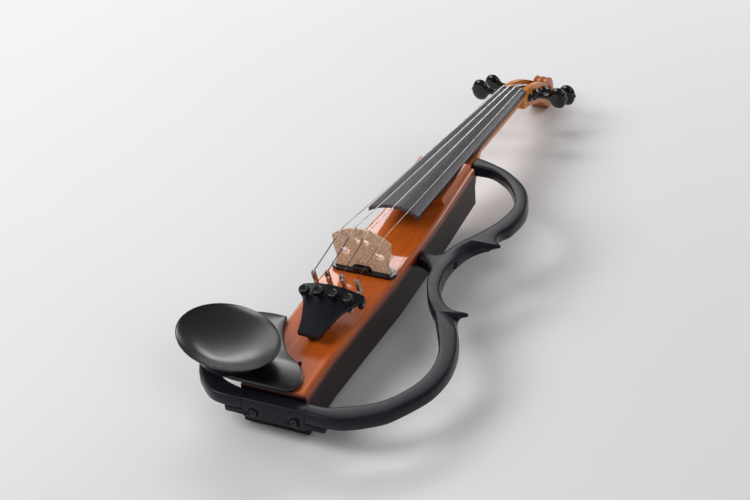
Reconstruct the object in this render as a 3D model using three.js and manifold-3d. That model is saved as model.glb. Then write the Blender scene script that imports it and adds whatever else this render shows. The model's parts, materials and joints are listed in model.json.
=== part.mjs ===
// Electric violin: a hollow trunk with a set-in neck, an open plastic frame on
// the treble side, a chin rest on the bass side and a battery-powered preamp.
//
// Millimetres, +z up. The flat back of the trunk lies on z = 0, the bridge
// stands on y = 0, the scroll points to +y and the treble side is +x.
import * as THREE from 'three';
import { mergeVertices } from 'three/addons/utils/BufferGeometryUtils.js';
import Module from 'manifold-3d';

const wasm = await Module();
wasm.setup();

// Clearances that pieces share
const SEAT_GAP = 0.3;
const TURN_GAP = 0.35;
const CUT_OVERRUN = 30;

// String plan, counted from the lowest string
const STRING_LENGTH = 326;
const STRING_NAMES = ['g', 'd', 'a', 'e'];
const STRING_PLACE_SHARES = [-1.5, -0.5, 0.5, 1.5];
const STRING_RADII = [0.42, 0.4, 0.36, 0.2];
const STRING_PITCH_AT_BRIDGE = 11.35;
const STRING_PITCH_AT_NUT = 5.5;
const STRING_PITCH_AT_TAIL = 11.6;
const STRING_SIDES = 8;

// Trunk
const TRUNK_DEPTH = 38;
const TRUNK_TAIL = 150;
const TRUNK_HEAD = 165;
const TRUNK_TREBLE = 27.4;
const TRUNK_BASS = 31.2;
const TRUNK_EDGE = 2.4;
const TREBLE_EDGE_SHARES = [[0, 0.765], [0.14, 0.75], [0.295, 0.845], [0.475, 0.975], [0.74, 1], [1, 0.95]];
const BASS_TAIL_SHARE = 0.96;
const BASS_STRAIGHT_START = 80;
const BASS_STRAIGHT_END = 18;

// Slanted flat on the bass flank that carries the control panel
const FLANK_START_IN = 2;
const FLANK_START_Y = 8;
const FLANK_LENGTH = 75.4;
const FLANK_TURN = THREE.MathUtils.degToRad(-5.56);
const BASS_HEAD_SHARE = 0.69;

// Wiring bay in the trunk and its flush back cover
const BAY_MIDDLE_X = 5;
const BAY_HALF_WIDTH = 8;
const BAY_TAIL_Y = -141;
const BAY_HEAD_Y = 56;
const BAY_ROOF = 7;
const COVER_LAND = 4;
const COVER_END_LAND = 7;
const COVER_THICKNESS = 2.5;
const COVER_SCREW_INSET = 3.6;
const COVER_SCREW_LENGTH = 9;
const SMALL_SHANK = 1.1;
const SMALL_HEAD = 2.1;
const SMALL_HEAD_HEIGHT = 1.4;
const SCREW_SIDES = 10;

// Neck and fingerboard. The board frame has y along the neck and z = 0 at
// the underside of the fingerboard, with its origin under the nut.
const BOARD_PROJECTION = 45.15;
const BOARD_TILT = Math.atan(BOARD_PROJECTION / STRING_LENGTH);
const BOARD_SEAT_AT_NUT = 14.4;
const BOARD_LENGTH = 272.6;
const BOARD_HALF_AT_NUT = 12;
const BOARD_HALF_AT_END = 21;
const BOARD_EDGE = 5;
const BOARD_RADIUS = 42;
const BOARD_ARC_STEPS = 10;
const NECK_DEPTH_AT_NUT = 13;
const NECK_DEPTH_AT_HEEL = 15.4;
const HEEL_HALF = 19.2;
const HEEL_DEPTH = 34;
const HEEL_FLAT = 24;
const HEEL_SWEEP = 26;
const HEEL_SWEEP_SHARES = [0, 0.25, 0.5, 0.75, 1];
const HEEL_LEAD = 9;
const HEEL_POWER = 6;
const NECK_POWER = 2;
const NECK_ARC_STEPS = 14;
const ROOT_START_Y = 108;
const ROOT_HALF = 18.6;
const ROOT_FLOOR_Z = 12;
const DECK_START_Y = 104;
const DECK_HEIGHT = 2.8;
const DECK_HALF = 23;
const DECK_SIDE_SLOPE = 3;

// Nut and pegbox
const NUT_THICKNESS = 4.6;
const NUT_RISE = 0.6;
const PEGBOX_LENGTH = 70;
const PEGBOX_HALF_AT_NUT = 12.2;
const PEGBOX_HALF_AT_THROAT = 9.6;
const PEGBOX_WALL = 4.6;
const PEGBOX_FLOOR = 5.4;
const CHEEK_RISE = 3.6;
const CHEEK_LINEAR_SHARE = 0.33;
const PEGBOX_DROP = 27;
const PEGBOX_DEPTH = 21;
const TROUGH_START = 3;
const TROUGH_END = 4;
const PROFILE_STEPS = 8;

// Scroll, as stepped turns around one eye
const SCROLL_AHEAD = 12;
const SCROLL_BELOW_CHEEK = 16;
const SCROLL_RADIUS = 15.5;
const SCROLL_HALF = 12;
const SCROLL_TURN_SHARES = [{ radius: 1, half: 0.55 }, { radius: 0.735, half: 0.783 }, { radius: 0.348, half: 1 }];
const SCROLL_SIDES = 28;

// Pegs
const PEG_RADIUS = 3.7;
const PEG_PLACE_SHARES = { g: 0, e: 0.3, d: 0.7, a: 1 };
const PEG_TO_TROUGH = 1.7;
const PEG_TO_THROAT = 3.9;
const PEG_SIDES = 12;
const PEG_HEAD_SIDES = 14;
const PEG_BELOW_CHEEK = 9.6;
const PEG_OVERHANG = 1.6;
const PEG_COLLAR_RADIUS = 5.6;
const PEG_COLLAR_LENGTH = 3;
const PEG_WAIST_RADIUS = 2.9;
const PEG_WAIST_LENGTH = 13;
const PEG_HEAD_LENGTH = 16;
const PEG_HEAD_WIDTH = 21;
const PEG_HEAD_THICKNESS = 8.4;
const WINDING_WALL = 1.1;
const WINDING_LENGTH = 3.6;
const WINDING_SIDES = 16;
const WINDING_PLACE_SHARES = { g: -0.55, d: -0.2, a: 0.2, e: 0.55 };

// Bridge and the pickup it stands on
const PICKUP_TREBLE = 26;
const PICKUP_BASS = 27;
const PICKUP_HALF_WIDTH = 6;
const PICKUP_HEIGHT = 2.8;
const PICKUP_BLOCK_HEIGHT = 2.7;
const PICKUP_BLOCK_SHARE = 0.76;
const BRIDGE_HEIGHT = 34.7;
const BRIDGE_HALF = 24;
const BRIDGE_CROWN_RADIUS = 36;
const BRIDGE_CROWN_X = -1.2;
const BRIDGE_FOOT_THICKNESS = 4.6;
const BRIDGE_TOP_THICKNESS = 1.6;
const BRIDGE_SIDE_SHARES = [[0.97, 0.58], [0.96, 0.45], [0.89, 0.3], [0.85, 0.16], [0.95, 0]];
const BRIDGE_ARCH_HALF_SHARE = 0.35;
const BRIDGE_ARCH_HEIGHT = 3.6;
const BRIDGE_ARCH_SIDE_SHARES = [-1, -0.95, -0.8, 0, 0.8, 0.95, 1];
const BRIDGE_ARCH_POWER = 8;
const HEART_RADIUS = 1.9;
const HEART_RISE = 23.9;
const HEART_HALF_SPAN = 3.6;
const KIDNEY_HALF_LENGTH = 3.6;
const KIDNEY_HALF_HEIGHT = 1.7;
const KIDNEY_RISE = 13.4;
const KIDNEY_X = 13.5;
const BRIDGE_HOLE_SIDES = 12;

// Tailpiece. Its own frame has y towards the bridge along its top and z = 0
// at the crown of the top.
const TAILPIECE_X = -1.5;
const TAILPIECE_BACK_Y = -97;
const TAILPIECE_BACK_RISE = 9.5;
const TAILPIECE_TILT = THREE.MathUtils.degToRad(17);
const TAILPIECE_LENGTH = 46;
const TAILPIECE_HALF_SHARES = [[0, 0.34], [0.25, 0.42], [0.55, 0.6], [0.8, 0.86], [0.93, 1], [1, 0.98]];
const TAILPIECE_HALF = 25;
const TAILPIECE_DROP = 6;
const TAILPIECE_THICKNESS = 4;
const TAILPIECE_ARC_STEPS = 10;
const AXLE_RADIUS = 1;
const AXLE_BELOW = 10.4;
const AXLE_BACK = 4;
const LUG_LENGTH = 6;
const LUG_WIDTH = 3.4;
const LUG_BELOW_AXLE = 2.6;
const LEVER_WIDTH = 3;
const LEVER_THICKNESS = 2.6;
const LEVER_REACH = 9.5;
const LEVER_HUB_RADIUS = 2.4;
const CLAW_AHEAD = 7.5;
const CLAW_RISE = 6;
const TUNER_SHANK = 1.5;
const TUNER_BACK = 11;
const TUNER_HEAD_RADIUS = 4.1;
const TUNER_HEAD_HEIGHT = 4.4;
const TUNER_HEAD_RISE = 3;
const TUNER_FLUTES = 14;
const TUNER_FLUTE_SHARE = 0.9;
const GUT_RADIUS = 1.1;
const GUT_BLOCK_START = 16;
const GUT_BLOCK_LENGTH = 8;
const GUT_BLOCK_HALF = 7.5;
const GUT_BLOCK_BELOW = 12.6;
const GUT_RISE = 3;
const GUT_BEND_STEPS = 8;
const POST_RADIUS = 3;
const POST_RISE = 5;
const POST_DEPTH = 14;
const POST_IN_FROM_BACK = 8.5;

// Open side frame and the matching arm on the bass side
const FRAME_REACH = 102;
const FRAME_TAIL = 162.3;
const FRAME_SPAN = 351;
const FRAME_DEPTH = 10;
const FRAME_TOP = 33;
const FRAME_EDGE = 1.2;
const FRAME_OUTER_SHARES = [
  [0.311, 0.989], [0.52, 0.96], [0.735, 0.901], [0.831, 0.822], [0.805, 0.743], [0.775, 0.715], [0.776, 0.69],
];
const FRAME_UPPER_TIP_SHARES = [[0.796, 0.667], [0.77, 0.656]];
const FRAME_WAIST_SHARES = [
  [0.697, 0.655], [0.6, 0.637], [0.573, 0.597], [0.544, 0.558], [0.549, 0.519], [0.579, 0.479], [0.698, 0.427],
  [0.776, 0.416],
];
const FRAME_LOWER_TIP_SHARES = [[0.876, 0.4165], [0.882, 0.404]];
const FRAME_LOWER_SHARES = [
  [0.849, 0.383], [0.866, 0.359], [0.934, 0.32], [0.98, 0.272], [1, 0.216], [0.972, 0.16], [0.917, 0.121],
  [0.787, 0.06], [0.681, 0.033], [0.536, 0.008], [0.4, 0],
];
const FRAME_INNER_LOWER_SHARES = [
  [0.36, 0.036], [0.472, 0.05], [0.618, 0.074], [0.721, 0.104], [0.786, 0.136], [0.835, 0.169], [0.861, 0.208],
  [0.857, 0.249], [0.811, 0.297], [0.666, 0.383], [0.556, 0.428], [0.463, 0.483], [0.424, 0.522], [0.403, 0.544],
  [0.348, 0.555],
];
const FRAME_STUB_LOW_SHARE = 0.568;
const FRAME_STUB_HIGH_SHARE = 0.597;
const FRAME_INNER_UPPER_SHARES = [
  [0.366, 0.588], [0.432, 0.599], [0.453, 0.625], [0.518, 0.669], [0.592, 0.705], [0.661, 0.748], [0.703, 0.793],
  [0.714, 0.824], [0.689, 0.857], [0.635, 0.888], [0.553, 0.92], [0.456, 0.943], [0.351, 0.958],
];
const FRAME_HEEL_LOW_SHARE = 0.956;
const ARM_REACH = 84;
const ARM_OUTER_COUNT = 6;
const ARM_INNER_COUNT = 6;
const ARM_END_ROUND = 5;
const FRAME_CURVE_STEPS = 2;
const FRAME_SHANK = 1.6;
const FRAME_HEAD = 3;
const FRAME_HEAD_HEIGHT = 2.4;
const FRAME_SCREW_Z = 28;
const HEEL_SCREW_HEAD_OUT = 10.8;
const WAIST_SCREW_HEAD_OUT = 20.9;
const SCREW_BITE = 11;

// Tail bracket
const BRACKET_HALF = 24.3;
const BRACKET_LENGTH = 12;
const BRACKET_FLOOR = 16;
const BRACKET_ROOF = 33.4;
const WING_HALF = 39;
const WING_FLOOR = 17;
const WING_SCREW_X = 32;
const WING_SCREW_BITE = 7;
const BRACKET_SCREW_X = 15.8;
const BRACKET_SCREW_Z = 21.5;
const BRACKET_SCREW_BITE = 8;

// Chin rest
const CHIN_PLATE = 3.2;
const CHIN_EDGE = 0.8;
const CHIN_TAIL_Y = -152;
const CHIN_RIGHT = 12.5;
const CHIN_SPAN = 77;
const CHIN_LEFT = 72;
const CHIN_EDGE_SHARES = [
  [0.95, 0.05], [1, 0.15], [0.84, 0.24], [0.55, 0.32], [0.2, 0.38], [-0.36, 0.44], [-0.91, 0.51], [-1.4, 0.62],
  [-1.9, 0.76], [-2.2, 0.9], [-2.36, 1],
];
const CHIN_HIDDEN_SHARES = [[-0.8, 0.98], [-0.99, 0.6], [-0.92, 0.25], [-0.7, 0.04]];
const CHIN_TAIL_SHARE = 0.5;
const CUP_X = -49.4;
const CUP_Y = -127.4;
const CUP_LONG = 44.9;
const CUP_SHORT = 33.2;
const CUP_TURN = THREE.MathUtils.degToRad(-25.6);
const CUP_RIM_Z = 56;
const CUP_DISH = 9.5;
const CUP_BASE_SHARE = 0.66;
const CUP_LIP_SHARE = 0.97;
const CUP_WALL_POWER = 1.5;
const CUP_WALL_SHARES = [0.2, 0.45, 0.7, 1];
const CUP_DISH_SHARES = [0.2, 0.4, 0.6, 0.8, 1];
const CUP_SIDES = 40;
const CHIN_SCREW_SHARES = { rear: 0.286, front: 0.429 };
const CHIN_SCREW_X = 1.5;
const CHIN_SCREW_BITE = 2.2;

// Control panel and what it carries, in the frame of the slanted flank:
// u points into the trunk, v runs along the flank and z is up.
const PANEL_IN = 0.5;
const PANEL_THICKNESS = 2.4;
const PANEL_START = 2;
const PANEL_LENGTH = 68;
const PANEL_FLOOR = 7;
const PANEL_HEIGHT = 24;
const PANEL_LAND = 3;
const PANEL_BAY_DEPTH = 14.4;
const BOARD_BACK_U = 15;
const CIRCUIT_THICKNESS = 1.6;
const CIRCUIT_LENGTH = 56;
const CIRCUIT_HEIGHT = 15;
const JACK_ROW_Z = 19;
const LINE_JACK_V = 12;
const LINE_JACK_BORE = 3.2;
const LINE_JACK_BARREL = 5;
const LINE_JACK_FLANGE = 7;
const PHONES_JACK_V = 27;
const PHONES_JACK_BORE = 2.2;
const PHONES_JACK_BARREL = 3.4;
const PHONES_JACK_FLANGE = 4.4;
const JACK_FLANGE_THICKNESS = 1.5;
const JACK_DEPTH = 12.4;
const JACK_FLOOR = 1.2;
const KNOB_V = 40;
const KNOB_RADIUS = 6.6;
const KNOB_HEIGHT = 7;
const KNOB_STEM = 2.6;
const KNOB_FLUTES = 16;
const POT_RADIUS = 6;
const POT_THICKNESS = 9;
const SWITCH_PLACE_SHARES = { reverb_switch: 0.706, power_switch: 0.859 };
const SWITCH_TRAVEL = 3;
const SWITCH_TAB_LENGTH = 2.4;
const SWITCH_TAB_HEIGHT = 4.4;
const SWITCH_TAB_RISE = 2;
const SWITCH_SHOE_LENGTH = 6;
const SWITCH_SHOE_HEIGHT = 7;
const SWITCH_SHOE_THICKNESS = 1.6;
const LEAD_RADIUS = 0.9;
const LEAD_SLOT = 7;
const LEAD_SLOT_Y = 38;
const LEAD_SLOT_Z = 19;
const LEAD_HOLE_X = 3;

// Battery bay in the bass flank
const CELL_RADIUS = 7.1;
const CELL_LENGTH = 50.2;
const CELL_NUB_RADIUS = 2.6;
const CELL_NUB_LENGTH = 1.2;
const CELL_GAP = 0.5;
const CELL_STACK_Z = 19.5;
const BATTERY_TAIL_Y = -76;
const BATTERY_SPARE = 3.2;
const BATTERY_FLOOR_Z = 3.9;
const BATTERY_ROOF_Z = 34.6;
const DOOR_THICKNESS = 2;
const DOOR_BARREL = 2.2;
const DOOR_PIN = 0.9;
const DOOR_PIN_HOLD = 3;
const CONTACT_THICKNESS = 0.8;

// Solids. Every shape becomes a closed solid here, with its faces outwards.
function asSolid(geometry) {
  const bare = geometry.clone();
  bare.deleteAttribute('normal');
  bare.deleteAttribute('uv');
  const merged = mergeVertices(bare);
  const places = merged.attributes.position.array;
  const corners = [];
  let volume = 0;
  const [a, b, c] = [new THREE.Vector3(), new THREE.Vector3(), new THREE.Vector3()];
  for (let i = 0; i < merged.index.count; i += 3) {
    const [p, q, r] = merged.index.array.slice(i, i + 3);
    if (p === q || q === r || r === p) continue;
    corners.push(p, q, r);
    a.fromArray(places, p * 3);
    b.fromArray(places, q * 3);
    c.fromArray(places, r * 3);
    volume += a.dot(b.cross(c));
  }
  if (volume < 0) corners.reverse();
  return new wasm.Manifold(new wasm.Mesh({
    numProp: 3,
    vertProperties: Float32Array.from(places),
    triVerts: Uint32Array.from(corners),
  }));
}

function asGeometry(solid) {
  const mesh = solid.getMesh();
  const geometry = new THREE.BufferGeometry();
  geometry.setAttribute('position', new THREE.BufferAttribute(mesh.vertProperties, mesh.numProp));
  geometry.setIndex(new THREE.BufferAttribute(mesh.triVerts, 1));
  geometry.computeVertexNormals();
  return geometry;
}

const join = (...solids) => solids.reduce((whole, next) => whole.add(next));
const cut = (body, ...tools) => tools.reduce((rest, tool) => rest.subtract(tool), body);

function block(lowX, highX, lowY, highY, lowZ, highZ, matrix) {
  const geometry = new THREE.BoxGeometry(highX - lowX, highY - lowY, highZ - lowZ);
  geometry.translate((lowX + highX) / 2, (lowY + highY) / 2, (lowZ + highZ) / 2);
  return asSolid(matrix ? geometry.applyMatrix4(matrix) : geometry);
}

// A turned shape: profile points are [radius, distance along the axis].
function turned(profile, axis, centre, sides, matrix) {
  const geometry = new THREE.LatheGeometry(profile.map(([r, s]) => new THREE.Vector2(r, s)), sides);
  const turn = new THREE.Quaternion().setFromUnitVectors(new THREE.Vector3(0, 1, 0), axis);
  geometry.applyQuaternion(turn);
  geometry.translate(centre.x, centre.y, centre.z);
  return asSolid(matrix ? geometry.applyMatrix4(matrix) : geometry);
}

function rod(radius, from, to, sides, matrix) {
  const axis = to.clone().sub(from);
  const length = axis.length();
  return turned([[0, 0], [radius, 0], [radius, length], [0, length]], axis.normalize(), from, sides, matrix);
}

// A screw whose head starts at the given point and whose shank runs on.
function screw(headRadius, headHeight, shankRadius, shankLength, axis, start, sides) {
  const end = headHeight + shankLength;
  const profile = [[0, 0], [headRadius, 0], [headRadius, headHeight], [shankRadius, headHeight], [shankRadius, end],
    [0, end]];
  return turned(profile, axis, start, sides);
}

// The clearance hole for that screw, open behind its head.
function screwHole(headRadius, headHeight, shankRadius, shankLength, axis, start, sides) {
  const open = start.clone().addScaledVector(axis, -CUT_OVERRUN);
  const seat = CUT_OVERRUN + headHeight + SEAT_GAP;
  const end = CUT_OVERRUN + headHeight + shankLength + SEAT_GAP;
  const profile = [[0, 0], [headRadius + SEAT_GAP, 0], [headRadius + SEAT_GAP, seat], [shankRadius + SEAT_GAP, seat],
    [shankRadius + SEAT_GAP, end], [0, end]];
  return turned(profile, axis, open, sides);
}

// An outline in x and y, raised from one height to another, with eased edges.
function plate(shape, lowZ, highZ, edge, curveSegments) {
  const geometry = new THREE.ExtrudeGeometry(shape, {
    depth: highZ - lowZ - 2 * edge,
    bevelEnabled: edge > 0,
    bevelThickness: edge,
    bevelSize: edge,
    bevelOffset: -edge,
    bevelSegments: 1,
    curveSegments,
  });
  geometry.translate(0, 0, lowZ + edge);
  return geometry;
}

// A profile in y and z, as wide as asked to each side of x = middle.
function slab(shape, middle, half, curveSegments) {
  const geometry = new THREE.ExtrudeGeometry(shape, { depth: 2 * half, bevelEnabled: false, curveSegments });
  geometry.translate(0, 0, -half);
  geometry.applyMatrix4(new THREE.Matrix4().makeBasis(Y_AXIS, Z_AXIS, X_AXIS));
  geometry.translate(middle, 0, 0);
  return geometry;
}

// A skin over sections across y. Each section is { y, outline } with the
// outline's points in x and z, all with the same count.
function loft(sections) {
  const windsBack = THREE.ShapeUtils.isClockWise(sections[0].outline);
  const rings = sections.map(({ outline }) => (windsBack ? [...outline].reverse() : outline));
  const count = rings[0].length;
  const places = rings.flatMap((ring, s) => ring.flatMap((p) => [p.x, sections[s].y, p.y]));
  const faces = [];
  for (let s = 0; s + 1 < rings.length; s += 1) {
    for (let i = 0; i < count; i += 1) {
      const here = s * count + i;
      const next = s * count + ((i + 1) % count);
      faces.push(here, next + count, next, here, here + count, next + count);
    }
  }
  const last = (rings.length - 1) * count;
  const startCap = THREE.ShapeUtils.triangulateShape(rings[0], []);
  const endCap = THREE.ShapeUtils.triangulateShape(rings[rings.length - 1], []);
  startCap.forEach((t) => faces.push(...t));
  endCap.forEach(([p, q, r]) => faces.push(r + last, q + last, p + last));
  const geometry = new THREE.BufferGeometry();
  geometry.setAttribute('position', new THREE.Float32BufferAttribute(places, 3));
  geometry.setIndex(faces);
  return geometry;
}

// A cord's route, whose steps fall on its own points.
class Route extends THREE.Curve {
  constructor(points) {
    super();
    this.points = points;
  }

  getPointAt(share, target = new THREE.Vector3()) {
    const place = share * (this.points.length - 1);
    const first = Math.min(Math.floor(place), this.points.length - 2);
    return target.lerpVectors(this.points[first], this.points[first + 1], place - first);
  }

  getTangentAt(share, target = new THREE.Vector3()) {
    const place = Math.round(share * (this.points.length - 1));
    const before = this.points[Math.max(place - 1, 0)];
    const after = this.points[Math.min(place + 1, this.points.length - 1)];
    return target.subVectors(after, before).normalize();
  }
}

function circle(radius, sides) {
  const points = Array.from({ length: sides }, (_, i) => {
    const turn = (i / sides) * 2 * Math.PI;
    return new THREE.Vector2(radius * Math.cos(turn), radius * Math.sin(turn));
  });
  return new THREE.Shape(points);
}

function cord(points, radius, sides) {
  const extrudePath = new Route(points);
  return new THREE.ExtrudeGeometry(circle(radius, sides), { steps: points.length - 1, extrudePath });
}

const vector = (x, y, z) => new THREE.Vector3(x, y, z);
const X_AXIS = vector(1, 0, 0);
const Y_AXIS = vector(0, 1, 0);
const Z_AXIS = vector(0, 0, 1);

// Placing. Pieces are named meshes in one violin group, each with a finish.
const violin = new THREE.Group();
violin.name = 'electric_violin';

const FINISHES = {
  varnish: { color: 0xa84a16, roughness: 0.18, metalness: 0 },
  pale_varnish: { color: 0xc98436, roughness: 0.24, metalness: 0 },
  ebony: { color: 0x2a272b, roughness: 0.5, metalness: 0 },
  maple: { color: 0xcfae84, roughness: 0.6, metalness: 0 },
  black_gloss: { color: 0x0b0b0d, roughness: 0.15, metalness: 0 },
  black_satin: { color: 0x24262b, roughness: 0.42, metalness: 0 },
  steel: { color: 0xc9cbd0, roughness: 0.22, metalness: 1 },
  nickel: { color: 0xbdb9b0, roughness: 0.25, metalness: 1 },
  black_steel: { color: 0x1c1c1f, roughness: 0.35, metalness: 0.8 },
  circuit_green: { color: 0x14532d, roughness: 0.5, metalness: 0 },
  cell_wrap: { color: 0x3f6f8f, roughness: 0.35, metalness: 0.2 },
  gut_black: { color: 0x151515, roughness: 0.55, metalness: 0 },
};

function add(name, finish, shape) {
  const geometry = shape.isBufferGeometry ? shape : asGeometry(shape);
  const mesh = new THREE.Mesh(geometry, new THREE.MeshStandardMaterial(FINISHES[finish]));
  mesh.name = name;
  violin.add(mesh);
}

// Trunk
const TRUNK_LENGTH = TRUNK_TAIL + TRUNK_HEAD;
const trunkY = (share) => share * TRUNK_LENGTH - TRUNK_TAIL;
const trebleEdge = TREBLE_EDGE_SHARES.map(([y, x]) => new THREE.Vector2(x * TRUNK_TREBLE, trunkY(y)));
const flankStart = new THREE.Vector2(FLANK_START_IN - TRUNK_BASS, FLANK_START_Y);
const flankMatrix = new THREE.Matrix4().makeRotationZ(FLANK_TURN).setPosition(flankStart.x, flankStart.y, 0);
const onFlank = (u, v, z) => vector(u, v, z).applyMatrix4(flankMatrix);
const FLANK_INWARD = X_AXIS.clone().transformDirection(flankMatrix);

function trebleAt(y) {
  const share = (y + TRUNK_TAIL) / TRUNK_LENGTH;
  const after = Math.max(TREBLE_EDGE_SHARES.findIndex(([s]) => s >= share), 1);
  const [[s0, x0], [s1, x1]] = TREBLE_EDGE_SHARES.slice(after - 1, after + 1);
  return TRUNK_TREBLE * THREE.MathUtils.mapLinear(share, s0, s1, x0, x1);
}

function trunkShape() {
  const shape = new THREE.Shape();
  const flankEnd = onFlank(0, FLANK_LENGTH, 0);
  shape.moveTo(trebleEdge[0].x, trebleEdge[0].y);
  trebleEdge.slice(1).forEach((p) => shape.lineTo(p.x, p.y));
  shape.lineTo(-BASS_HEAD_SHARE * TRUNK_BASS, TRUNK_HEAD);
  shape.lineTo(flankEnd.x, flankEnd.y);
  shape.lineTo(flankStart.x, flankStart.y);
  shape.lineTo(-TRUNK_BASS, -BASS_STRAIGHT_END);
  shape.lineTo(-TRUNK_BASS, -BASS_STRAIGHT_START);
  shape.lineTo(-BASS_TAIL_SHARE * TRUNK_BASS, -TRUNK_TAIL);
  return shape;
}

const coverLowY = BAY_TAIL_Y;
const coverHighY = BAY_HEAD_Y + COVER_END_LAND;
const bayLowY = BAY_TAIL_Y + COVER_END_LAND;
const coverHalf = BAY_HALF_WIDTH + COVER_LAND;
const coverScrewPlaces = [
  [BAY_MIDDLE_X, coverLowY + COVER_SCREW_INSET],
  [BAY_MIDDLE_X, coverHighY - COVER_SCREW_INSET],
].map(([x, y]) => vector(x, y, 0));
const coverScrewArgs = [SMALL_HEAD, SMALL_HEAD_HEIGHT, SMALL_SHANK, COVER_SCREW_LENGTH, Z_AXIS];

const batteryHighY = BATTERY_TAIL_Y + CELL_LENGTH + CELL_NUB_LENGTH + BATTERY_SPARE;
const cellX = -TRUNK_BASS + DOOR_THICKNESS + CELL_GAP + CELL_RADIUS;
const batteryInnerX = cellX + CELL_RADIUS + CELL_GAP;
const doorAxis = { x: -TRUNK_BASS + DOOR_BARREL, z: BATTERY_FLOOR_Z + SEAT_GAP + DOOR_BARREL };
const doorPinEnds = [
  vector(doorAxis.x, BATTERY_TAIL_Y - DOOR_PIN_HOLD, doorAxis.z),
  vector(doorAxis.x, batteryHighY + DOOR_PIN_HOLD, doorAxis.z),
];

const panelLow = { v: PANEL_START, z: PANEL_FLOOR };
const panelHigh = { v: PANEL_START + PANEL_LENGTH, z: PANEL_FLOOR + PANEL_HEIGHT };
const panelBack = PANEL_IN + PANEL_THICKNESS;
const leadPoints = [
  vector(LEAD_HOLE_X, 0, TRUNK_DEPTH - SEAT_GAP),
  vector(LEAD_HOLE_X, 0, TRUNK_DEPTH - BAY_ROOF - LEAD_RADIUS),
];
const postPlace = vector(TAILPIECE_X, TAILPIECE_BACK_Y + POST_IN_FROM_BACK, TRUNK_DEPTH);
const bracketScrewStarts = [-BRACKET_SCREW_X, BRACKET_SCREW_X].map(
  (x) => vector(x, -TRUNK_TAIL - BRACKET_LENGTH - SEAT_GAP, BRACKET_SCREW_Z),
);
const bracketScrewArgs = [FRAME_HEAD, FRAME_HEAD_HEIGHT, FRAME_SHANK, BRACKET_LENGTH + BRACKET_SCREW_BITE, Y_AXIS];
const chinScrewYs = Object.values(CHIN_SCREW_SHARES).map((share) => CHIN_TAIL_Y + share * CHIN_SPAN);
const chinScrewStart = (y) => vector(CHIN_SCREW_X, y, TRUNK_DEPTH - BAY_ROOF - SEAT_GAP - SMALL_HEAD_HEIGHT);
const chinScrewArgs = [SMALL_HEAD, SMALL_HEAD_HEIGHT, SMALL_SHANK, BAY_ROOF + SEAT_GAP + CHIN_SCREW_BITE, Z_AXIS];

// The frame ends on the trunk's side, or on the neck's heel beyond it.
const frameY = (share) => share * FRAME_SPAN - FRAME_TAIL;
const seatSideAt = (y) => (y < TRUNK_HEAD ? trebleAt(y) : HEEL_HALF);
const sideScrewArgs = (lowShare, highShare, headOut) => {
  const y = frameY((lowShare + highShare) / 2);
  return [
    FRAME_HEAD, FRAME_HEAD_HEIGHT, FRAME_SHANK, headOut + SCREW_BITE, X_AXIS.clone().negate(),
    vector(seatSideAt(y) + headOut, y, FRAME_SCREW_Z), SCREW_SIDES,
  ];
};
const waistScrewArgs = sideScrewArgs(FRAME_STUB_LOW_SHARE, FRAME_STUB_HIGH_SHARE, WAIST_SCREW_HEAD_OUT);
const heelScrewArgs = sideScrewArgs(FRAME_HEEL_LOW_SHARE, 1, HEEL_SCREW_HEAD_OUT);

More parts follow.
